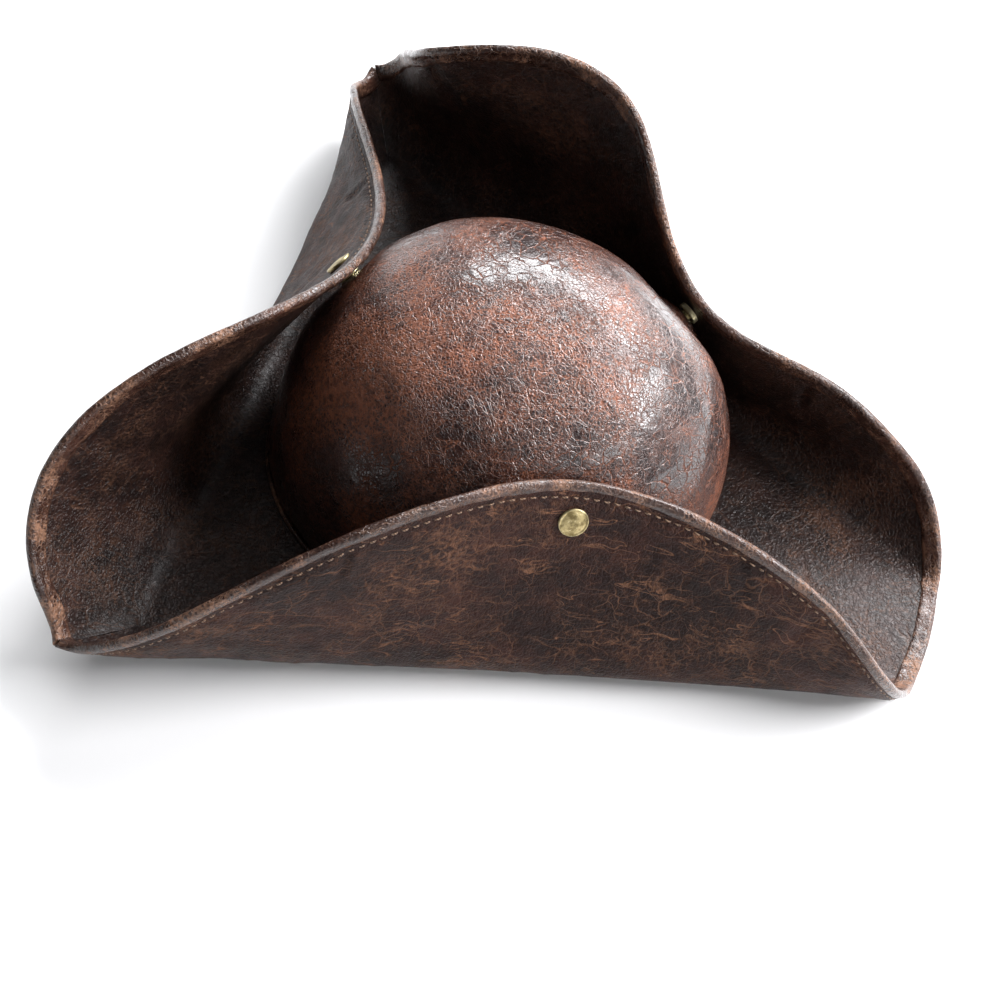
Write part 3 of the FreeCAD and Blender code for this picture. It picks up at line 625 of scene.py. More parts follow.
ra, rn, ru = rim_of("right")
la, ln_, lu = rim_of("left")
gp = np.concatenate([ra, Ez[1:-1], la])
gn = np.concatenate([rn, np.tile((0.0, 0.0, 1.0), (nt - 2, 1)), ln_])
gu = np.concatenate([ru, eo[1:-1], lu])
m0, m1 = len(ra) - 1, len(ra) + nt - 3
x, p, n, up, (k0, k1) = rim_frames(gp, gn, gu, 7, marks=(m0, m1 + 1))
bindings = {"right": rim_binding("right_rim_binding", x[:k0 + 1], p[:k0 + 1], n[:k0 + 1], up[:k0 + 1], 1),
            "left": rim_binding("left_rim_binding", x[k1:], p[k1:], n[k1:], up[k1:], 1)}
tongue_edge = rim_binding("front_point_rim", x[k0:k1 + 1], p[k0:k1 + 1], n[k0:k1 + 1], up[k0:k1 + 1], 1)
x, p, n, up, _ = rim_frames(*rim_of("back"), 3)
bindings["back"] = rim_binding("back_rim_binding", x, p, n, up, 3)


# ------------------------------------------------------------------ stitches: separate threads below the rim
def stitch_row(name, centres, dirs, nrms, length, radius, every, dip):
    verts, faces = [], []
    m, k = 6, 7
    count = 0
    d = np.concatenate([[0], np.cumsum(np.linalg.norm(np.diff(centres, axis=0), axis=1))])
    pos = every * 0.6
    while pos < d[-1] - every:
        c = np.array([np.interp(pos, d, centres[:, a]) for a in range(3)])
        n = np.array([np.interp(pos, d, nrms[:, a]) for a in range(3)])
        n /= np.linalg.norm(n)
        a0 = np.array([np.interp(pos - 1, d, centres[:, a]) for a in range(3)])
        a1 = np.array([np.interp(pos + 1, d, centres[:, a]) for a in range(3)])
        t = a1 - a0
        t /= np.linalg.norm(t)
        b = np.cross(n, t)
        jit = float(noise(np.array((pos, 3.0, 1.0)), 3.0, 71))
        t = t + b * 0.07 * jit
        L = length * (1 + 0.08 * jit)
        base = len(verts)
        for i in range(k):
            w = -1 + 2 * i / (k - 1)
            rad = radius * (1 - 0.55 * abs(w) ** 3)
            h = radius * 0.55 * (1 - abs(w) ** 2.2 * 1.6) - dip * abs(w) ** 4
            for j in range(m):
                a = 2 * math.pi * j / m
                verts.append(c + t * (w * L / 2) + b * rad * math.cos(a) + n * (h + rad * 0.8 * math.sin(a)))
        for i in range(k - 1):
            for j in range(m):
                j2 = (j + 1) % m
                faces.append((base + i * m + j, base + i * m + j2, base + (i + 1) * m + j2, base + (i + 1) * m + j))
        faces.append(tuple(base + j for j in range(m))[::-1])
        faces.append(tuple(base + (k - 1) * m + j for j in range(m)))
        pos += every
        count += 1
    return finish_mesh(name, verts, faces, {"flat": np.array(verts)}), count


stitch_obs = {}
for side, f in F.items():
    d = brim[side]
    S, T, top = d["S"], d["T"], d["top"]
    inset = 4.8
    line, nr = [], []
    for i in range(len(top)):
        if top[i] < 12.0:
            continue
        tt = top[i] - inset
        col = d["outer"][i]
        line.append([np.interp(tt, T[i], col[:, a]) for a in range(3)])
        nr.append([-np.interp(tt, T[i], d["N"][i][:, a]) for a in range(3)])
    line, nr = np.array(line), np.array(nr)
    ob, n_st = stitch_row(side + "_rim_stitches", line[3:-3], None, nr[3:-3], 3.1, 0.42, 4.3, 0.35)
    stitch_obs[side] = ob

# ------------------------------------------------------------------ crown
nth, nph = ((360, 150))
theta = np.linspace(0, 2 * math.pi, nth, endpoint=False)
EXPO = 2.5
CROWN_H = 119.0


def dome(inset, z_from, bumps=True):
    H = CROWN_H - inset
    # phi from the base to nearly the top
    ph = np.linspace(0, 1, nph)
    zz = z_from + (H + 3.4 - z_from) * np.sin(ph * math.pi / 2 * 0.995) ** 1.0
    k = np.clip((zz - 3.4) / H, 0, 1)
    r = (1 - k ** EXPO) ** (1 / EXPO)
    x, y = crown_oval(theta[:, None], r[None, :], inset)
    lx, ly = lean_at(zz)
    p = np.stack([x + lx[None, :], y + ly[None, :], np.broadcast_to(zz, x.shape)], -1)
    return p, k


def dome_normals(p):
    du = (np.roll(p, -1, 0) - np.roll(p, 1, 0))
    dv = np.gradient(p, axis=1)
    n = np.cross(du, dv)
    n /= np.linalg.norm(n, axis=-1, keepdims=True) + 1e-12
    if n[0, 3] @ (p[0, 3] - np.array((4, -2, 30.0))) < 0:
        n = -n
    return n


def capped(name, A, B, extra=None):
    # closed dome shell: two grids (theta, phi) joined at the base and closed by small poles
    nu, nv = A.shape[:2]
    n = nu * nv
    faces = grid_faces(nu, nv, 0, False, True) + grid_faces(nu, nv, n, True, True)
    for i in range(nu):
        i2 = (i + 1) % nu
        faces.append((i * nv, i2 * nv, n + i2 * nv, n + i * nv))
    ta, tb = A[:, -1].mean(0), B[:, -1].mean(0)
    verts = np.concatenate([A.reshape(-1, 3), B.reshape(-1, 3), [ta, tb]])
    for i in range(nu):
        i2 = (i + 1) % nu
        faces.append((i * nv + nv - 1, i2 * nv + nv - 1, 2 * n))
        faces.append((n + i * nv + nv - 1, n + i2 * nv + nv - 1, 2 * n + 1))
    return finish_mesh(name, verts, faces, {"flat": verts})


P0, K0 = dome(0.0, 2.6)
N0 = dome_normals(P0)
snap_feet = []
for s in ("right", "left", "back"):
    lo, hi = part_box(s + "_snap_stud")
    snap_feet.append(np.array((lo + hi) / 2 * 1000))
quiet = np.ones(P0.shape[:2])
for c in snap_feet:
    quiet = quiet * smooth((np.linalg.norm(P0 - c, axis=-1) - 7.0) / 14.0)
hgt = 1.0 * noise(P0, 70, 61) + 0.5 * noise(P0, 30, 62) + 0.16 * noise(P0, 11, 63)
ridged = 1 - np.abs(noise(P0 + 5 * noise(P0, 22, 66)[..., None], 13, 64)) * 2
hgt = hgt + 0.16 * np.clip(ridged, 0, 1) ** 4
base_in = np.exp(-((P0[..., 2] - 5.0) / 3.2) ** 2)
far = lambda c: np.linalg.norm(P0 - np.array(c, float), axis=-1)
hgt = hgt + 4.3 * np.exp(-(far((-12, 61, 96)) / 38) ** 2) - 5.4 * np.exp(-(far((75, 24, 91)) / 27) ** 2)
hgt = hgt * quiet - 0.9 * base_in
outer = P0 + N0 * hgt[..., None]
back_face = P0 - N0 * (2.2 - np.minimum(hgt, 0))[..., None]
crown_obj = capped("crown_leather_dome", outer, back_face)

P1, K1 = dome(2.5, 1.2)
N1 = dome_normals(P1)
h1 = 0.35 * noise(P1, 26, 81) + 0.25 * (1 - np.abs(noise(P1, 15, 82)) * 2)
dent = 5.4 * np.exp(-(np.linalg.norm(P1 - np.array((75.0, 24, 91)), axis=-1) / 27) ** 2)
lining_obj = capped("crown_lining_cloth", P1 - N1 * (0.15 + dent)[..., None], P1 - N1 * (0.75 + dent + np.clip(h1, -0.3, 0.9))[..., None])

# press stud caps: low domes with a thin raised lip, seated on the flaps' outer faces
AXIS = {"right": (0.052, -0.863, 0.502), "left": (0.793, 0.478, 0.378), "back": (-0.643, 0.563, 0.519)}
CAP = [(0.0, -0.35), (5.95, -0.35), (6.12, 0.05), (6.15, 0.55), (6.0, 0.92), (5.72, 1.04), (5.42, 0.98), (5.2, 0.80), (4.9, 0.86),
       (4.2, 1.12), (3.2, 1.36), (2.1, 1.52), (1.0, 1.60), (0.0, 1.62)]
caps = {}
for side, f in F.items():
    sv = np.array([SNAP_ALONG[side]])
    tv = f.height(sv) - 19.0
    p = wall(f, sv, tv)[0]
    ax = np.array(AXIS[side]); ax /= np.linalg.norm(ax)
    e1 = np.cross(ax, (0, 0, 1.0)); e1 /= np.linalg.norm(e1)
    e2 = np.cross(ax, e1)
    base = p + ax * (THICK + 0.25)
    nr_ = 64
    verts = [base + ax * CAP[0][1]]
    for r, z in CAP[1:-1]:
        for j in range(nr_):
            a = 2 * math.pi * j / nr_
            verts.append(base + e1 * r * math.cos(a) + e2 * r * math.sin(a) + ax * z)
    verts.append(base + ax * CAP[-1][1])
    rows = len(CAP) - 2
    faces = []
    for j in range(nr_):
        j2 = (j + 1) % nr_
        faces.append((0, 1 + j2, 1 + j))
        for k in range(rows - 1):
            faces.append((1 + k * nr_ + j, 1 + k * nr_ + j2, 1 + (k + 1) * nr_ + j2, 1 + (k + 1) * nr_ + j))
        faces.append((1 + (rows - 1) * nr_ + j, 1 + (rows - 1) * nr_ + j2, len(verts) - 1))
    caps[side] = finish_mesh(side + "_snap_cap_dome", verts, faces)

# piping where the crown meets the brim
zb = 4.3
ks = (1 - ((zb - 3.4) / CROWN_H) ** EXPO) ** (1 / EXPO)
seam = []
mm = 10
nseam = 360
th2 = np.linspace(0, 2 * math.pi, nseam, endpoint=False)
cx_, cy_ = crown_oval(th2, ks, -0.5)
lx, ly = lean_at(zb)
centre = np.stack([cx_ + lx, cy_ + ly, np.full(nseam, zb)], 1)
outv = np.gradient(centre, axis=0)
outv[0] = centre[1] - centre[-1]; outv[-1] = centre[0] - centre[-2]
outv = np.stack([outv[:, 1], -outv[:, 0], np.zeros(nseam)], 1)
outv /= np.linalg.norm(outv, axis=1, keepdims=True)
if outv[0] @ (centre[0] - np.array((4, -2, 0))) < 0:
    outv = -outv
secs = []
for j in range(mm):
    a = 2 * math.pi * j / mm
    rad = 1.0 + 0.12 * noise(st(th2 * 90, 0 * th2, 3), 7, 91)
    secs.append(centre + outv * (rad * math.cos(a))[:, None] + np.array((0, 0, 1.0)) * (rad * 0.9 * math.sin(a))[:, None])
secs = np.stack(secs, 1)
seam_obj = tube("crown_base_piping", centre, secs, True, secs.reshape(-1, 3))

# sweatband: a hoop of ribbon with a turned lower edge
nb, nz = 360, 26
th3 = np.linspace(0, 2 * math.pi, nb, endpoint=False)
zz = np.linspace(1.0, 27.0, nz)
bandA, bandB = np.zeros((nb, nz, 3)), np.zeros((nb, nz, 3))
for j, z in enumerate(zz):
    k = (1 - (max(z - 3.4, 0) / 114.0) ** EXPO) ** (1 / EXPO)
    lx, ly = lean_at(z)
    wave = 0.35 * noise(st(th3 * 95, np.full(nb, z * 0.4), 9), 16, 95)
    roll = 0.7 * math.exp(-((z - 2.2) / 1.2) ** 2) + 0.35 * math.exp(-((z - 25.6) / 1.0) ** 2)
    xa, ya = crown_oval(th3, k, 4.0)
    inw = crown_oval(th3, k, 5.3)
    bandA[:, j] = np.stack([xa + lx, ya + ly, np.full(nb, z)], 1)
    d2 = np.stack([inw[0] - xa, inw[1] - ya], 1)
    d2 /= np.linalg.norm(d2, axis=1, keepdims=True)
    off = 1.2 + wave + roll
    bandB[:, j, :2] = np.stack([xa + lx, ya + ly], 1) + d2 * off[:, None]
    bandB[:, j, 2] = z
fl = np.stack([np.repeat(th3[:, None] * 90, nz, 1), np.repeat(zz[None, :], nb, 0), np.full((nb, nz), 700.0)], -1)
band_obj = slab("sweatband_ribbon", bandB, bandA, fl, fl + 3, wrap_u=True)
bz = 4.6
jb = int(np.argmin(np.abs(zz - bz)))
bl = bandB[:, jb]
bn = np.stack([-(bandB[:, jb, 0] - 4), -(bandB[:, jb, 1] + 2), np.zeros(nb)], 1)
bn /= np.linalg.norm(bn, axis=1, keepdims=True)
band_st, _ = stitch_row("sweatband_stitches", bl, None, bn, 2.6, 0.32, 3.8, 0.25)


# ------------------------------------------------------------------ materials
class Nodes:
    def __init__(self, name):
        self.mat = bpy.data.materials.new(name)
        self.mat.use_nodes = True
        self.t = self.mat.node_tree
        self.t.nodes.clear()
        self.out = self.t.nodes.new("ShaderNodeOutputMaterial")
        self.bsdf = self.t.nodes.new("ShaderNodeBsdfPrincipled")
        self.t.links.new(self.bsdf.outputs[0], self.out.inputs[0])

    def new(self, kind, **kw):
        n = self.t.nodes.new(kind)
        for k, v in kw.items():
            setattr(n, k, v)
        return n

    def put(self, sock, val):
        if hasattr(val, "is_output") or isinstance(val, bpy.types.NodeSocket):
            self.t.links.new(val, sock)
        else:
            sock.default_value = val

    def coords(self, attr=None):
        if attr:
            n = self.new("ShaderNodeAttribute", attribute_name=attr)
            return n.outputs["Vector"]
        return self.new("ShaderNodeTexCoord").outputs["Object"]

    def mapping(self, vec, scale=(1, 1, 1), rot=(0, 0, 0), loc=(0, 0, 0)):
        n = self.new("ShaderNodeMapping")
        self.put(n.inputs["Vector"], vec)
        n.inputs["Scale"].default_value = scale
        n.inputs["Rotation"].default_value = rot
        n.inputs["Location"].default_value = loc
        return n.outputs[0]

    def noise(self, vec, scale, detail=3.0, rough=0.55, dist=0.0):
        n = self.new("ShaderNodeTexNoise")
        self.put(n.inputs["Vector"], vec)
        n.inputs["Scale"].default_value = scale
        n.inputs["Detail"].default_value = detail
        n.inputs["Roughness"].default_value = rough
        n.inputs["Distortion"].default_value = dist
        return n.outputs["Fac"]

    def noise_vec(self, vec, scale, detail=2.0):
        n = self.new("ShaderNodeTexNoise")
        self.put(n.inputs["Vector"], vec)
        n.inputs["Scale"].default_value = scale
        n.inputs["Detail"].default_value = detail
        return n.outputs["Color"]

    def voronoi(self, vec, scale, feature="DISTANCE_TO_EDGE", randomness=1.0):
        n = self.new("ShaderNodeTexVoronoi", feature=feature)
        self.put(n.inputs["Vector"], vec)
        n.inputs["Scale"].default_value = scale
        n.inputs["Randomness"].default_value = randomness
        return n.outputs["Distance"]

    def math(self, op, a, b=None, c=None, clamp=False):
        n = self.new("ShaderNodeMath", operation=op, use_clamp=clamp)
        self.put(n.inputs[0], a)
        if b is not None:
            self.put(n.inputs[1], b)
        if c is not None:
            self.put(n.inputs[2], c)
        return n.outputs[0]

    def vmath(self, op, a, b):
        n = self.new("ShaderNodeVectorMath", operation=op)
        self.put(n.inputs[0], a)
        if op == "SCALE":
            self.put(n.inputs[3], b)
        else:
            self.put(n.inputs[1], b)
        return n.outputs[0]

    def remap(self, v, a, b, c=0.0, d=1.0, smoothstep=True):
        n = self.new("ShaderNodeMapRange", interpolation_type="SMOOTHSTEP" if smoothstep else "LINEAR")
        self.put(n.inputs["Value"], v)
        n.inputs["From Min"].default_value = a
        n.inputs["From Max"].default_value = b
        n.inputs["To Min"].default_value = c
        n.inputs["To Max"].default_value = d
        return n.outputs["Result"]

    def mix(self, fac, a, b):
        n = self.new("ShaderNodeMix", data_type="RGBA")
        self.put(n.inputs[0], fac)
        for sock, v in ((n.inputs[6], a), (n.inputs[7], b)):
            if isinstance(v, bpy.types.NodeSocket):
                self.t.links.new(v, sock)
            else:
                sock.default_value = (*v, 1.0)
        return n.outputs[2]

    def warp(self, vec, scale, amount):
        c = self.noise_vec(vec, scale)
        c = self.vmath("SUBTRACT", c, (0.5, 0.5, 0.5))
        return self.vmath("ADD", vec, self.vmath("SCALE", c, amount))

    def ridges(self, vec, scale, width, detail=2.0):
        # thin wandering lines along a level of a noise field
        v = self.noise(vec, scale, detail)
        v = self.math("SUBTRACT", v, 0.5)
        v = self.math("ABSOLUTE", v)
        return self.remap(v, width, 0.0, 0.0, 1.0)

    def bump(self, height, strength, distance, normal=None):
        n = self.new("ShaderNodeBump")
        n.inputs["Strength"].default_value = strength
        n.inputs["Distance"].default_value = distance
        self.put(n.inputs["Height"], height)
        if normal is not None:
            self.put(n.inputs["Normal"], normal)
        return n.outputs[0]


def leather(name, ground, mid, light, rough=(0.35, 0.55), cracks=1.0, scratches=1.0, grain=1.0, crack_scale=110, coat=0.0,
            attr="flat", crack_mask=(0.40, 0.62), spec=0.5, scratch_mask=(0.42, 0.60), fine=1.0, crack_width=0.05,
            lace_scale=26, lace_cell=420, lace_soft=0.42, lace_at=0.40, lace_amount=0.8, plates=0.0, coat_rough=0.25):
    m = Nodes(name)
    c = m.coords(attr)
    w = m.warp(c, 55, 0.012)
    w2 = m.warp(w, 260, 0.0022)
    patch = m.noise(c, 16, 5, 0.6)
    cloud = m.noise(c, 70, 6, 0.7)
    speck = m.noise(c, 420, 4, 0.65)
    # crack networks at three sizes, each broken up by a patchy mask
    e1 = m.remap(m.voronoi(w2, crack_scale), crack_width, 0.0)
    e2 = m.remap(m.voronoi(w2, crack_scale * 2.6), crack_width * 1.5, 0.0)
    e3 = m.remap(m.voronoi(m.mapping(w2, (1.0, 2.2, 1.4), (0, 0, 0.9)), crack_scale * 0.55), crack_width * 0.55, 0.0)
    m1 = m.remap(m.noise(c, 38, 3), crack_mask[0], crack_mask[1])
    m2 = m.remap(m.noise(m.mapping(c, loc=(3, 5, 1)), 52, 4), crack_mask[0] + 0.03, crack_mask[1] + 0.03)
    k1 = m.math("MULTIPLY", e1, m1)
    k2 = m.math("MULTIPLY", e2, m2)
    net = m.math("MAXIMUM", k1, m.math("MULTIPLY", k2, 0.75))
    net = m.math("MAXIMUM", net, m.math("MULTIPLY", e3, m.remap(m.noise(m.mapping(c, loc=(9, 2, 4)), 24, 3), 0.5, 0.68)))
    # scratches in several directions
    s = None
    for k, (rot, sc, wd, loc) in enumerate((((0, 0, 0.5), 60, 0.012, (1, 7, 2)), ((0, 0, -0.9), 75, 0.011, (4, 1, 8)),
                                            ((0, 0, 1.9), 48, 0.008, (7, 3, 5)), ((0, 0, 2.7), 95, 0.014, (2, 9, 6)))):
        v = m.mapping(w, (0.28, 1.35, 1.0), rot, loc)
        line = m.ridges(v, sc, wd, 2.5)
        mask = m.remap(m.noise(m.mapping(c, loc=loc), 46, 4), scratch_mask[0] + 0.04, scratch_mask[1] + 0.04)
        line = m.math("MULTIPLY", line, mask)
        s = line if s is None else m.math("MAXIMUM", s, line)
    # worn patches with lace-like borders: the cracks widen until the coat is gone
    field = m.noise(w, lace_scale, 8, 0.62)
    fineedge = m.voronoi(m.warp(m.warp(c, 330, 0.0018), 950, 0.0010), lace_cell)
    lace = m.remap(m.math("SUBTRACT", field, m.math("MULTIPLY", fineedge, lace_soft)), lace_at, lace_at + 0.14)
    lace = m.math("MULTIPLY", m.math("MULTIPLY", lace, m.remap(speck, 0.30, 0.60, 0.45, 1.0)), lace_amount)
    wear = m.math("MAXIMUM", m.math("MULTIPLY", net, cracks), m.math("MULTIPLY", s, scratches), clamp=True)
    wear = m.math("MAXIMUM", wear, lace, clamp=True)
    wear = m.math("MULTIPLY", wear, m.remap(speck, 0.25, 0.62, 0.35, 1.0), clamp=True)
    col = m.mix(m.remap(cloud, 0.36, 0.66), ground, mid)
    dark = tuple(x * 0.5 for x in ground)
    col = m.mix(m.math("MULTIPLY", m.remap(patch, 0.58, 0.36), 0.75), col, dark)
    warm = tuple(a * 0.55 + b * 0.45 for a, b in zip(mid, light))
    col = m.mix(m.math("MULTIPLY", m.remap(m.noise(c, 190, 4, 0.7), 0.52, 0.72), 0.35 * fine), col, warm)
    col = m.mix(m.math("MULTIPLY", wear, 0.82), col, light)
    m.put(m.bsdf.inputs["Base Color"], col)
    r = m.remap(m.noise(c, 120, 4), 0.3, 0.7, rough[0], rough[1], False)
    r = m.math("ADD", r, m.math("MULTIPLY", wear, 0.16), clamp=True)
    m.put(m.bsdf.inputs["Roughness"], r)
    m.bsdf.inputs["Specular IOR Level"].default_value = spec
    m.bsdf.inputs["Coat Roughness"].default_value = coat_rough
    if coat:
        m.put(m.bsdf.inputs["Coat Weight"], m.math("MULTIPLY", m.math("SUBTRACT", 1.0, m.math("MULTIPLY", wear, 0.85)), coat))
    else:
        m.bsdf.inputs["Coat Weight"].default_value = 0.0
    pebbles = m.voronoi(m.warp(c, 500, 0.0008), 760, "F1", 1.0)
    pebbles = m.remap(pebbles, 0.0, 0.75, 1.0, 0.0)
    g = m.math("MULTIPLY", pebbles, 0.45 * grain)
    g = m.math("ADD", g, m.math("MULTIPLY", m.noise(c, 300, 5, 0.6), 0.9 * grain))
    g = m.math("ADD", g, m.math("MULTIPLY", m.noise(w, 85, 3), 1.3))
    g = m.math("SUBTRACT", g, m.math("MULTIPLY", net, 0.8 * cracks))
    g = m.math("SUBTRACT", g, m.math("MULTIPLY", s, 0.35 * scratches))
    g = m.math("SUBTRACT", g, m.math("MULTIPLY", lace, 0.5))
    if plates:
        pl = m.remap(m.voronoi(m.warp(c, 300, 0.0018), lace_cell * 1.15), 0.0, 0.10)
        g = m.math("ADD", g, m.math("MULTIPLY", pl, plates))
    m.put(m.bsdf.inputs["Normal"], m.bump(g, 0.6, 0.0010))
    if coat:
        # the varnish follows the cracks and the plates between them, not the finest grain
        gc_ = m.math("SUBTRACT", m.math("MULTIPLY", m.noise(w, 85, 3), 0.9), m.math("MULTIPLY", net, 1.1 * cracks))
        gc_ = m.math("ADD", gc_, m.math("MULTIPLY", m.noise(c, 300, 3, 0.5), 0.30 * grain))
        gc_ = m.math("SUBTRACT", gc_, m.math("MULTIPLY", lace, 0.25))
        m.put(m.bsdf.inputs["Coat Normal"], m.bump(gc_, 0.5, 0.0010))
    return m.mat


def cloth(name, dark, light, scale=1500.0, attr="flat", rough=0.85):
    m = Nodes(name)
    c = m.coords(attr)
    wa = m.new("ShaderNodeTexWave", wave_type="BANDS", bands_direction="X")
    wa.inputs["Scale"].default_value = scale / 6.28
    wa.inputs["Distortion"].default_value = 1.2
    wa.inputs["Detail Scale"].default_value = 2.0
    m.put(wa.inputs["Vector"], c)
    wb = m.new("ShaderNodeTexWave", wave_type="BANDS", bands_direction="Y")
    wb.inputs["Scale"].default_value = scale / 6.28
    wb.inputs["Distortion"].default_value = 1.2
    m.put(wb.inputs["Vector"], c)
    weave = m.math("MULTIPLY", m.math("ADD", wa.outputs["Fac"], wb.outputs["Fac"]), 0.5)
    col = m.mix(m.remap(m.math("ADD", weave, m.math("MULTIPLY", m.noise(c, 90, 4), 0.6)), 0.4, 1.3), dark, light)
    m.put(m.bsdf.inputs["Base Color"], col)
    m.put(m.bsdf.inputs["Roughness"], m.remap(m.noise(c, 200, 3), 0.3, 0.7, rough - 0.08, rough + 0.08, False))
    m.bsdf.inputs["Sheen Weight"].default_value = 0.25
    m.bsdf.inputs["Sheen Roughness"].default_value = 0.4
    m.put(m.bsdf.inputs["Normal"], m.bump(m.math("ADD", weave, m.math("MULTIPLY", m.noise(c, 60, 3), 1.5)), 0.5, 0.0006))
    return m.mat


def thread_mat(name, dark, light):
    m = Nodes(name)
    c = m.coords("flat")
    wa = m.new("ShaderNodeTexWave", wave_type="BANDS", bands_direction="DIAGONAL")
    wa.inputs["Scale"].default_value = 420
    wa.inputs["Distortion"].default_value = 2.0
    m.put(wa.inputs["Vector"], c)
    n = m.noise(c, 150, 4)
    fac = m.math("MULTIPLY", m.math("ADD", wa.outputs["Fac"], n), 0.5)
    m.put(m.bsdf.inputs["Base Color"], m.mix(m.remap(fac, 0.3, 0.75), dark, light))
    m.put(m.bsdf.inputs["Roughness"], m.remap(n, 0.3, 0.7, 0.6, 0.85, False))
    m.put(m.bsdf.inputs["Normal"], m.bump(wa.outputs["Fac"], 0.5, 0.0003))
    m.bsdf.inputs["Sheen Weight"].default_value = 0.2
    return m.mat


def brass(name, tarnish, metal, bright):
    m = Nodes(name)
    c = m.coords()
    n1 = m.noise(c, 260, 5, 0.65)
    n2 = m.noise(c, 900, 4, 0.6)
    geo = m.new("ShaderNodeNewGeometry")
    edge = m.remap(geo.outputs["Pointiness"], 0.53, 0.60)
    col = m.mix(m.remap(n1, 0.36, 0.62), tarnish, metal)
    col = m.mix(m.math("MULTIPLY", m.remap(n2, 0.55, 0.72), 0.5), col, bright)
    col = m.mix(m.math("MULTIPLY", edge, 0.8), col, bright)
    m.put(m.bsdf.inputs["Base Color"], col)
    m.bsdf.inputs["Metallic"].default_value = 0.9
    m.put(m.bsdf.inputs["Roughness"], m.remap(n1, 0.3, 0.7, 0.32, 0.55, False))
    m.put(m.bsdf.inputs["Normal"], m.bump(m.math("ADD", n1, m.math("MULTIPLY", n2, 0.4)), 0.25, 0.0004))
    return m.mat


brim_out = leather("brim_outer_leather", (0.0140, 0.0050, 0.0040), (0.037, 0.0128, 0.0088), (0.21, 0.098, 0.054),
                   rough=(0.42, 0.60), cracks=0.55, scratches=1.0, crack_scale=80, crack_width=0.032, crack_mask=(0.46, 0.64),
                   lace_scale=20, lace_cell=300, lace_at=0.47, lace_amount=0.6, lace_soft=0.50, plates=0.30, spec=0.15)
brim_in = leather("brim_inner_leather", (0.0110, 0.0054, 0.0046), (0.030, 0.0128, 0.0098), (0.17, 0.082, 0.048),
                  rough=(0.30, 0.46), cracks=0.35, scratches=0.5, grain=1.5, crack_scale=95, coat=0.28, coat_rough=0.38, lace_scale=18, lace_at=0.47,
                  lace_cell=340, lace_amount=0.55, lace_soft=0.50, plates=0.5, spec=0.25)
rim_mat = leather("rim_edge_leather", (0.026, 0.011, 0.008), (0.066, 0.028, 0.019), (0.32, 0.17, 0.105),
                  rough=(0.20, 0.36), cracks=0.5, scratches=0.5, crack_scale=190, coat=0.5, spec=0.3, lace_scale=50, lace_cell=520, lace_at=0.44)
crown_mat = leather("crown_crackle_leather", (0.0165, 0.0050, 0.0045), (0.062, 0.0180, 0.0112), (0.34, 0.120, 0.060),
                    rough=(0.24, 0.38), cracks=0.75, scratches=0.35, crack_scale=150, coat=1.0, coat_rough=0.18, spec=0.30, grain=0.7, attr=None,
                    crack_mask=(0.40, 0.60), crack_width=0.05, lace_scale=15, lace_cell=640, lace_at=0.385, lace_amount=0.85,
                    lace_soft=0.48, plates=0.8)
thread = thread_mat("tan_thread", (0.085, 0.045, 0.026), (0.26, 0.155, 0.090))
lining_m = cloth("lining_cloth", (0.020, 0.018, 0.018), (0.055, 0.050, 0.050), 1700, None)
band_m = cloth("sweatband_ribbon_cloth", (0.022, 0.018, 0.016), (0.075, 0.062, 0.055), 1300)
brass_m = brass("antique_brass", (0.16, 0.12, 0.05), (0.47, 0.38, 0.19), (0.85, 0.76, 0.48))


def paint(ob, mat):
    ob.data.materials.clear()
    ob.data.materials.append(mat)
    return ob


# ------------------------------------------------------------------ paint, ride, replace
for side, f in F.items():
    d = brim[side]
    paint(d["o_in"], brim_in)
    paint(d["o_out"], brim_out)
    paint(bindings[side], rim_mat)
    paint(stitch_obs[side], thread)
    for ob in (d["o_in"], d["o_out"], bindings[side], stitch_obs[side]):
        join_blend(ob)
    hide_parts(side + "_flap_inner_leather")
    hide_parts(side + "_flap_outer_leather", side + "_flap_core")
    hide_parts(side + "_flap_binding")
    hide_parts(side + "_flap_stitching")
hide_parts("floor_upper_leather")
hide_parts("floor_lower_leather", "floor_core")
for ob, mat, slot in ((tongue_in, brim_in, "brim_leather"), (tongue_out, brim_out, "brim_leather"), (tongue_edge, rim_mat, "edge_leather"),
                      (crown_obj, crown_mat, "crown_leather"), (lining_obj, lining_m, "lining_fabric"), (seam_obj, rim_mat, "edge_leather"),
                      (band_obj, band_m, "sweatband_fabric"), (band_st, thread, "thread")):
    paint(ob, mat)
    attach(ob, "crown_and_floor")
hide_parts("front_point_binding")
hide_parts("crown_shell", "crown_stiffener")
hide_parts("crown_lining")
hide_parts("sweatband")
for side in F:
    paint(caps[side], brass_m)
    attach(caps[side], side + "_flap")
    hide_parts(side + "_snap_cap")
    for part in ("socket", "stud", "post"):
        ob = nodes["%s_snap_%s" % (side, part)]
        ob.data.materials.clear()
        ob.data.materials.append(brass_m)

# ------------------------------------------------------------------ floor, light, camera
bpy.ops.mesh.primitive_plane_add(size=8.0, location=(0, 0, -0.0002))
ground = bpy.context.object
ground.name = "floor_plane"
gm = Nodes("pale_floor")
gc = gm.coords()
gm.put(gm.bsdf.inputs["Base Color"], gm.mix(gm.noise(gc, 6, 3), (0.86, 0.86, 0.86), (0.90, 0.90, 0.90)))
gm.bsdf.inputs["Roughness"].default_value = 0.85
ground.data.materials.append(gm.mat)

world = bpy.data.worlds.new("studio")
scene.world = world
world.use_nodes = True
world.node_tree.nodes["Background"].inputs[0].default_value = (0.92, 0.95, 1.0, 1)
world.node_tree.nodes["Background"].inputs[1].default_value = 0.075


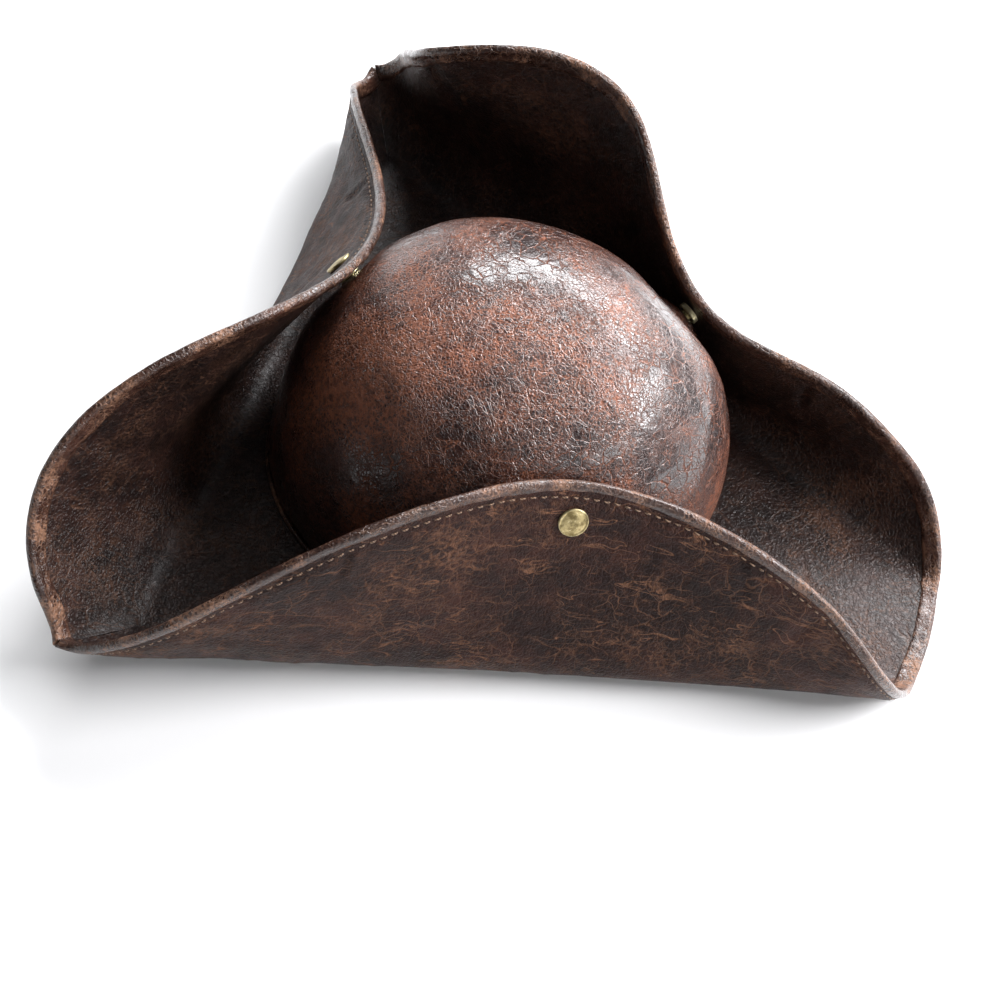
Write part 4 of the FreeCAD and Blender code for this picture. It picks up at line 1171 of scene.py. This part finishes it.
def area(name, loc, target, size, power, color=(1, 1, 1)):
    li = bpy.data.lights.new(name, "AREA")
    li.shape = "RECTANGLE"
    li.size, li.size_y = size
    li.energy = power
    li.color = color
    ob = bpy.data.objects.new(name, li)
    scene.collection.objects.link(ob)
    ob.location = loc
    ob.rotation_mode = "QUATERNION"
    ob.rotation_quaternion = (Vector(target) - Vector(loc)).to_track_quat("-Z", "Y")
    return ob


area("back_softbox", (0.30, 1.50, 1.15), (0.0, 0, 0.06), (0.9, 0.5), 30, (0.97, 0.98, 1.0))
area("rear_right_softbox", (1.10, 1.00, 1.25), (0.02, 0, 0.06), (1.0, 0.7), 64, (0.98, 0.98, 1.0))
area("right_softbox", (1.35, -0.15, 1.15), (0.02, 0, 0.06), (0.9, 0.6), 50, (0.98, 0.98, 1.0))
area("front_right_softbox", (0.95, -1.05, 0.85), (-0.05, 0.05, 0.06), (0.6, 0.4), 5, (0.98, 0.98, 1.0))
area("front_fill", (0.25, -1.6, 0.95), (0, 0, 0.05), (1.2, 0.7), 4)
area("top_fill", (0.1, 0.1, 1.9), (0, 0, 0.05), (0.9, 0.9), 4)

# camera: fitted station point, focal length and tilt
az, el, dist, roll, pan, tilt = (math.radians(-15.4), math.radians(54.5), 0.6782, math.radians(12.0), math.radians(0.7), math.radians(-3.5))
back_v = Vector((math.sin(az) * math.cos(el), -math.cos(az) * math.cos(el), math.sin(el)))
C = Vector((0, 0, 0.050 + 0.0034)) + back_v * dist
fwd = -back_v
rgt = fwd.cross(Vector((0, 0, 1))).normalized()
upv = rgt.cross(fwd)
f1 = fwd * math.cos(pan) + rgt * math.sin(pan)
r1 = f1.cross(upv)
f2 = f1 * math.cos(tilt) + upv * math.sin(tilt)
u2 = r1.cross(f2)
r3 = r1 * math.cos(roll) + u2 * math.sin(roll)
u3 = r3.cross(f2)
cam_data = bpy.data.cameras.new("camera")
cam = bpy.data.objects.new("camera", cam_data)
scene.collection.objects.link(cam)
cam_data.sensor_width = 36.0
cam_data.lens = 1573.8 * 36.0 / 1000.0
cam_data.clip_start, cam_data.clip_end = 0.01, 20.0
mat = Matrix(((r3.x, u3.x, -f2.x, C.x), (r3.y, u3.y, -f2.y, C.y), (r3.z, u3.z, -f2.z, C.z), (0, 0, 0, 1)))
cam.matrix_world = mat
scene.camera = cam
scene.view_settings.view_transform = "Standard"
scene.view_settings.exposure = 0.0
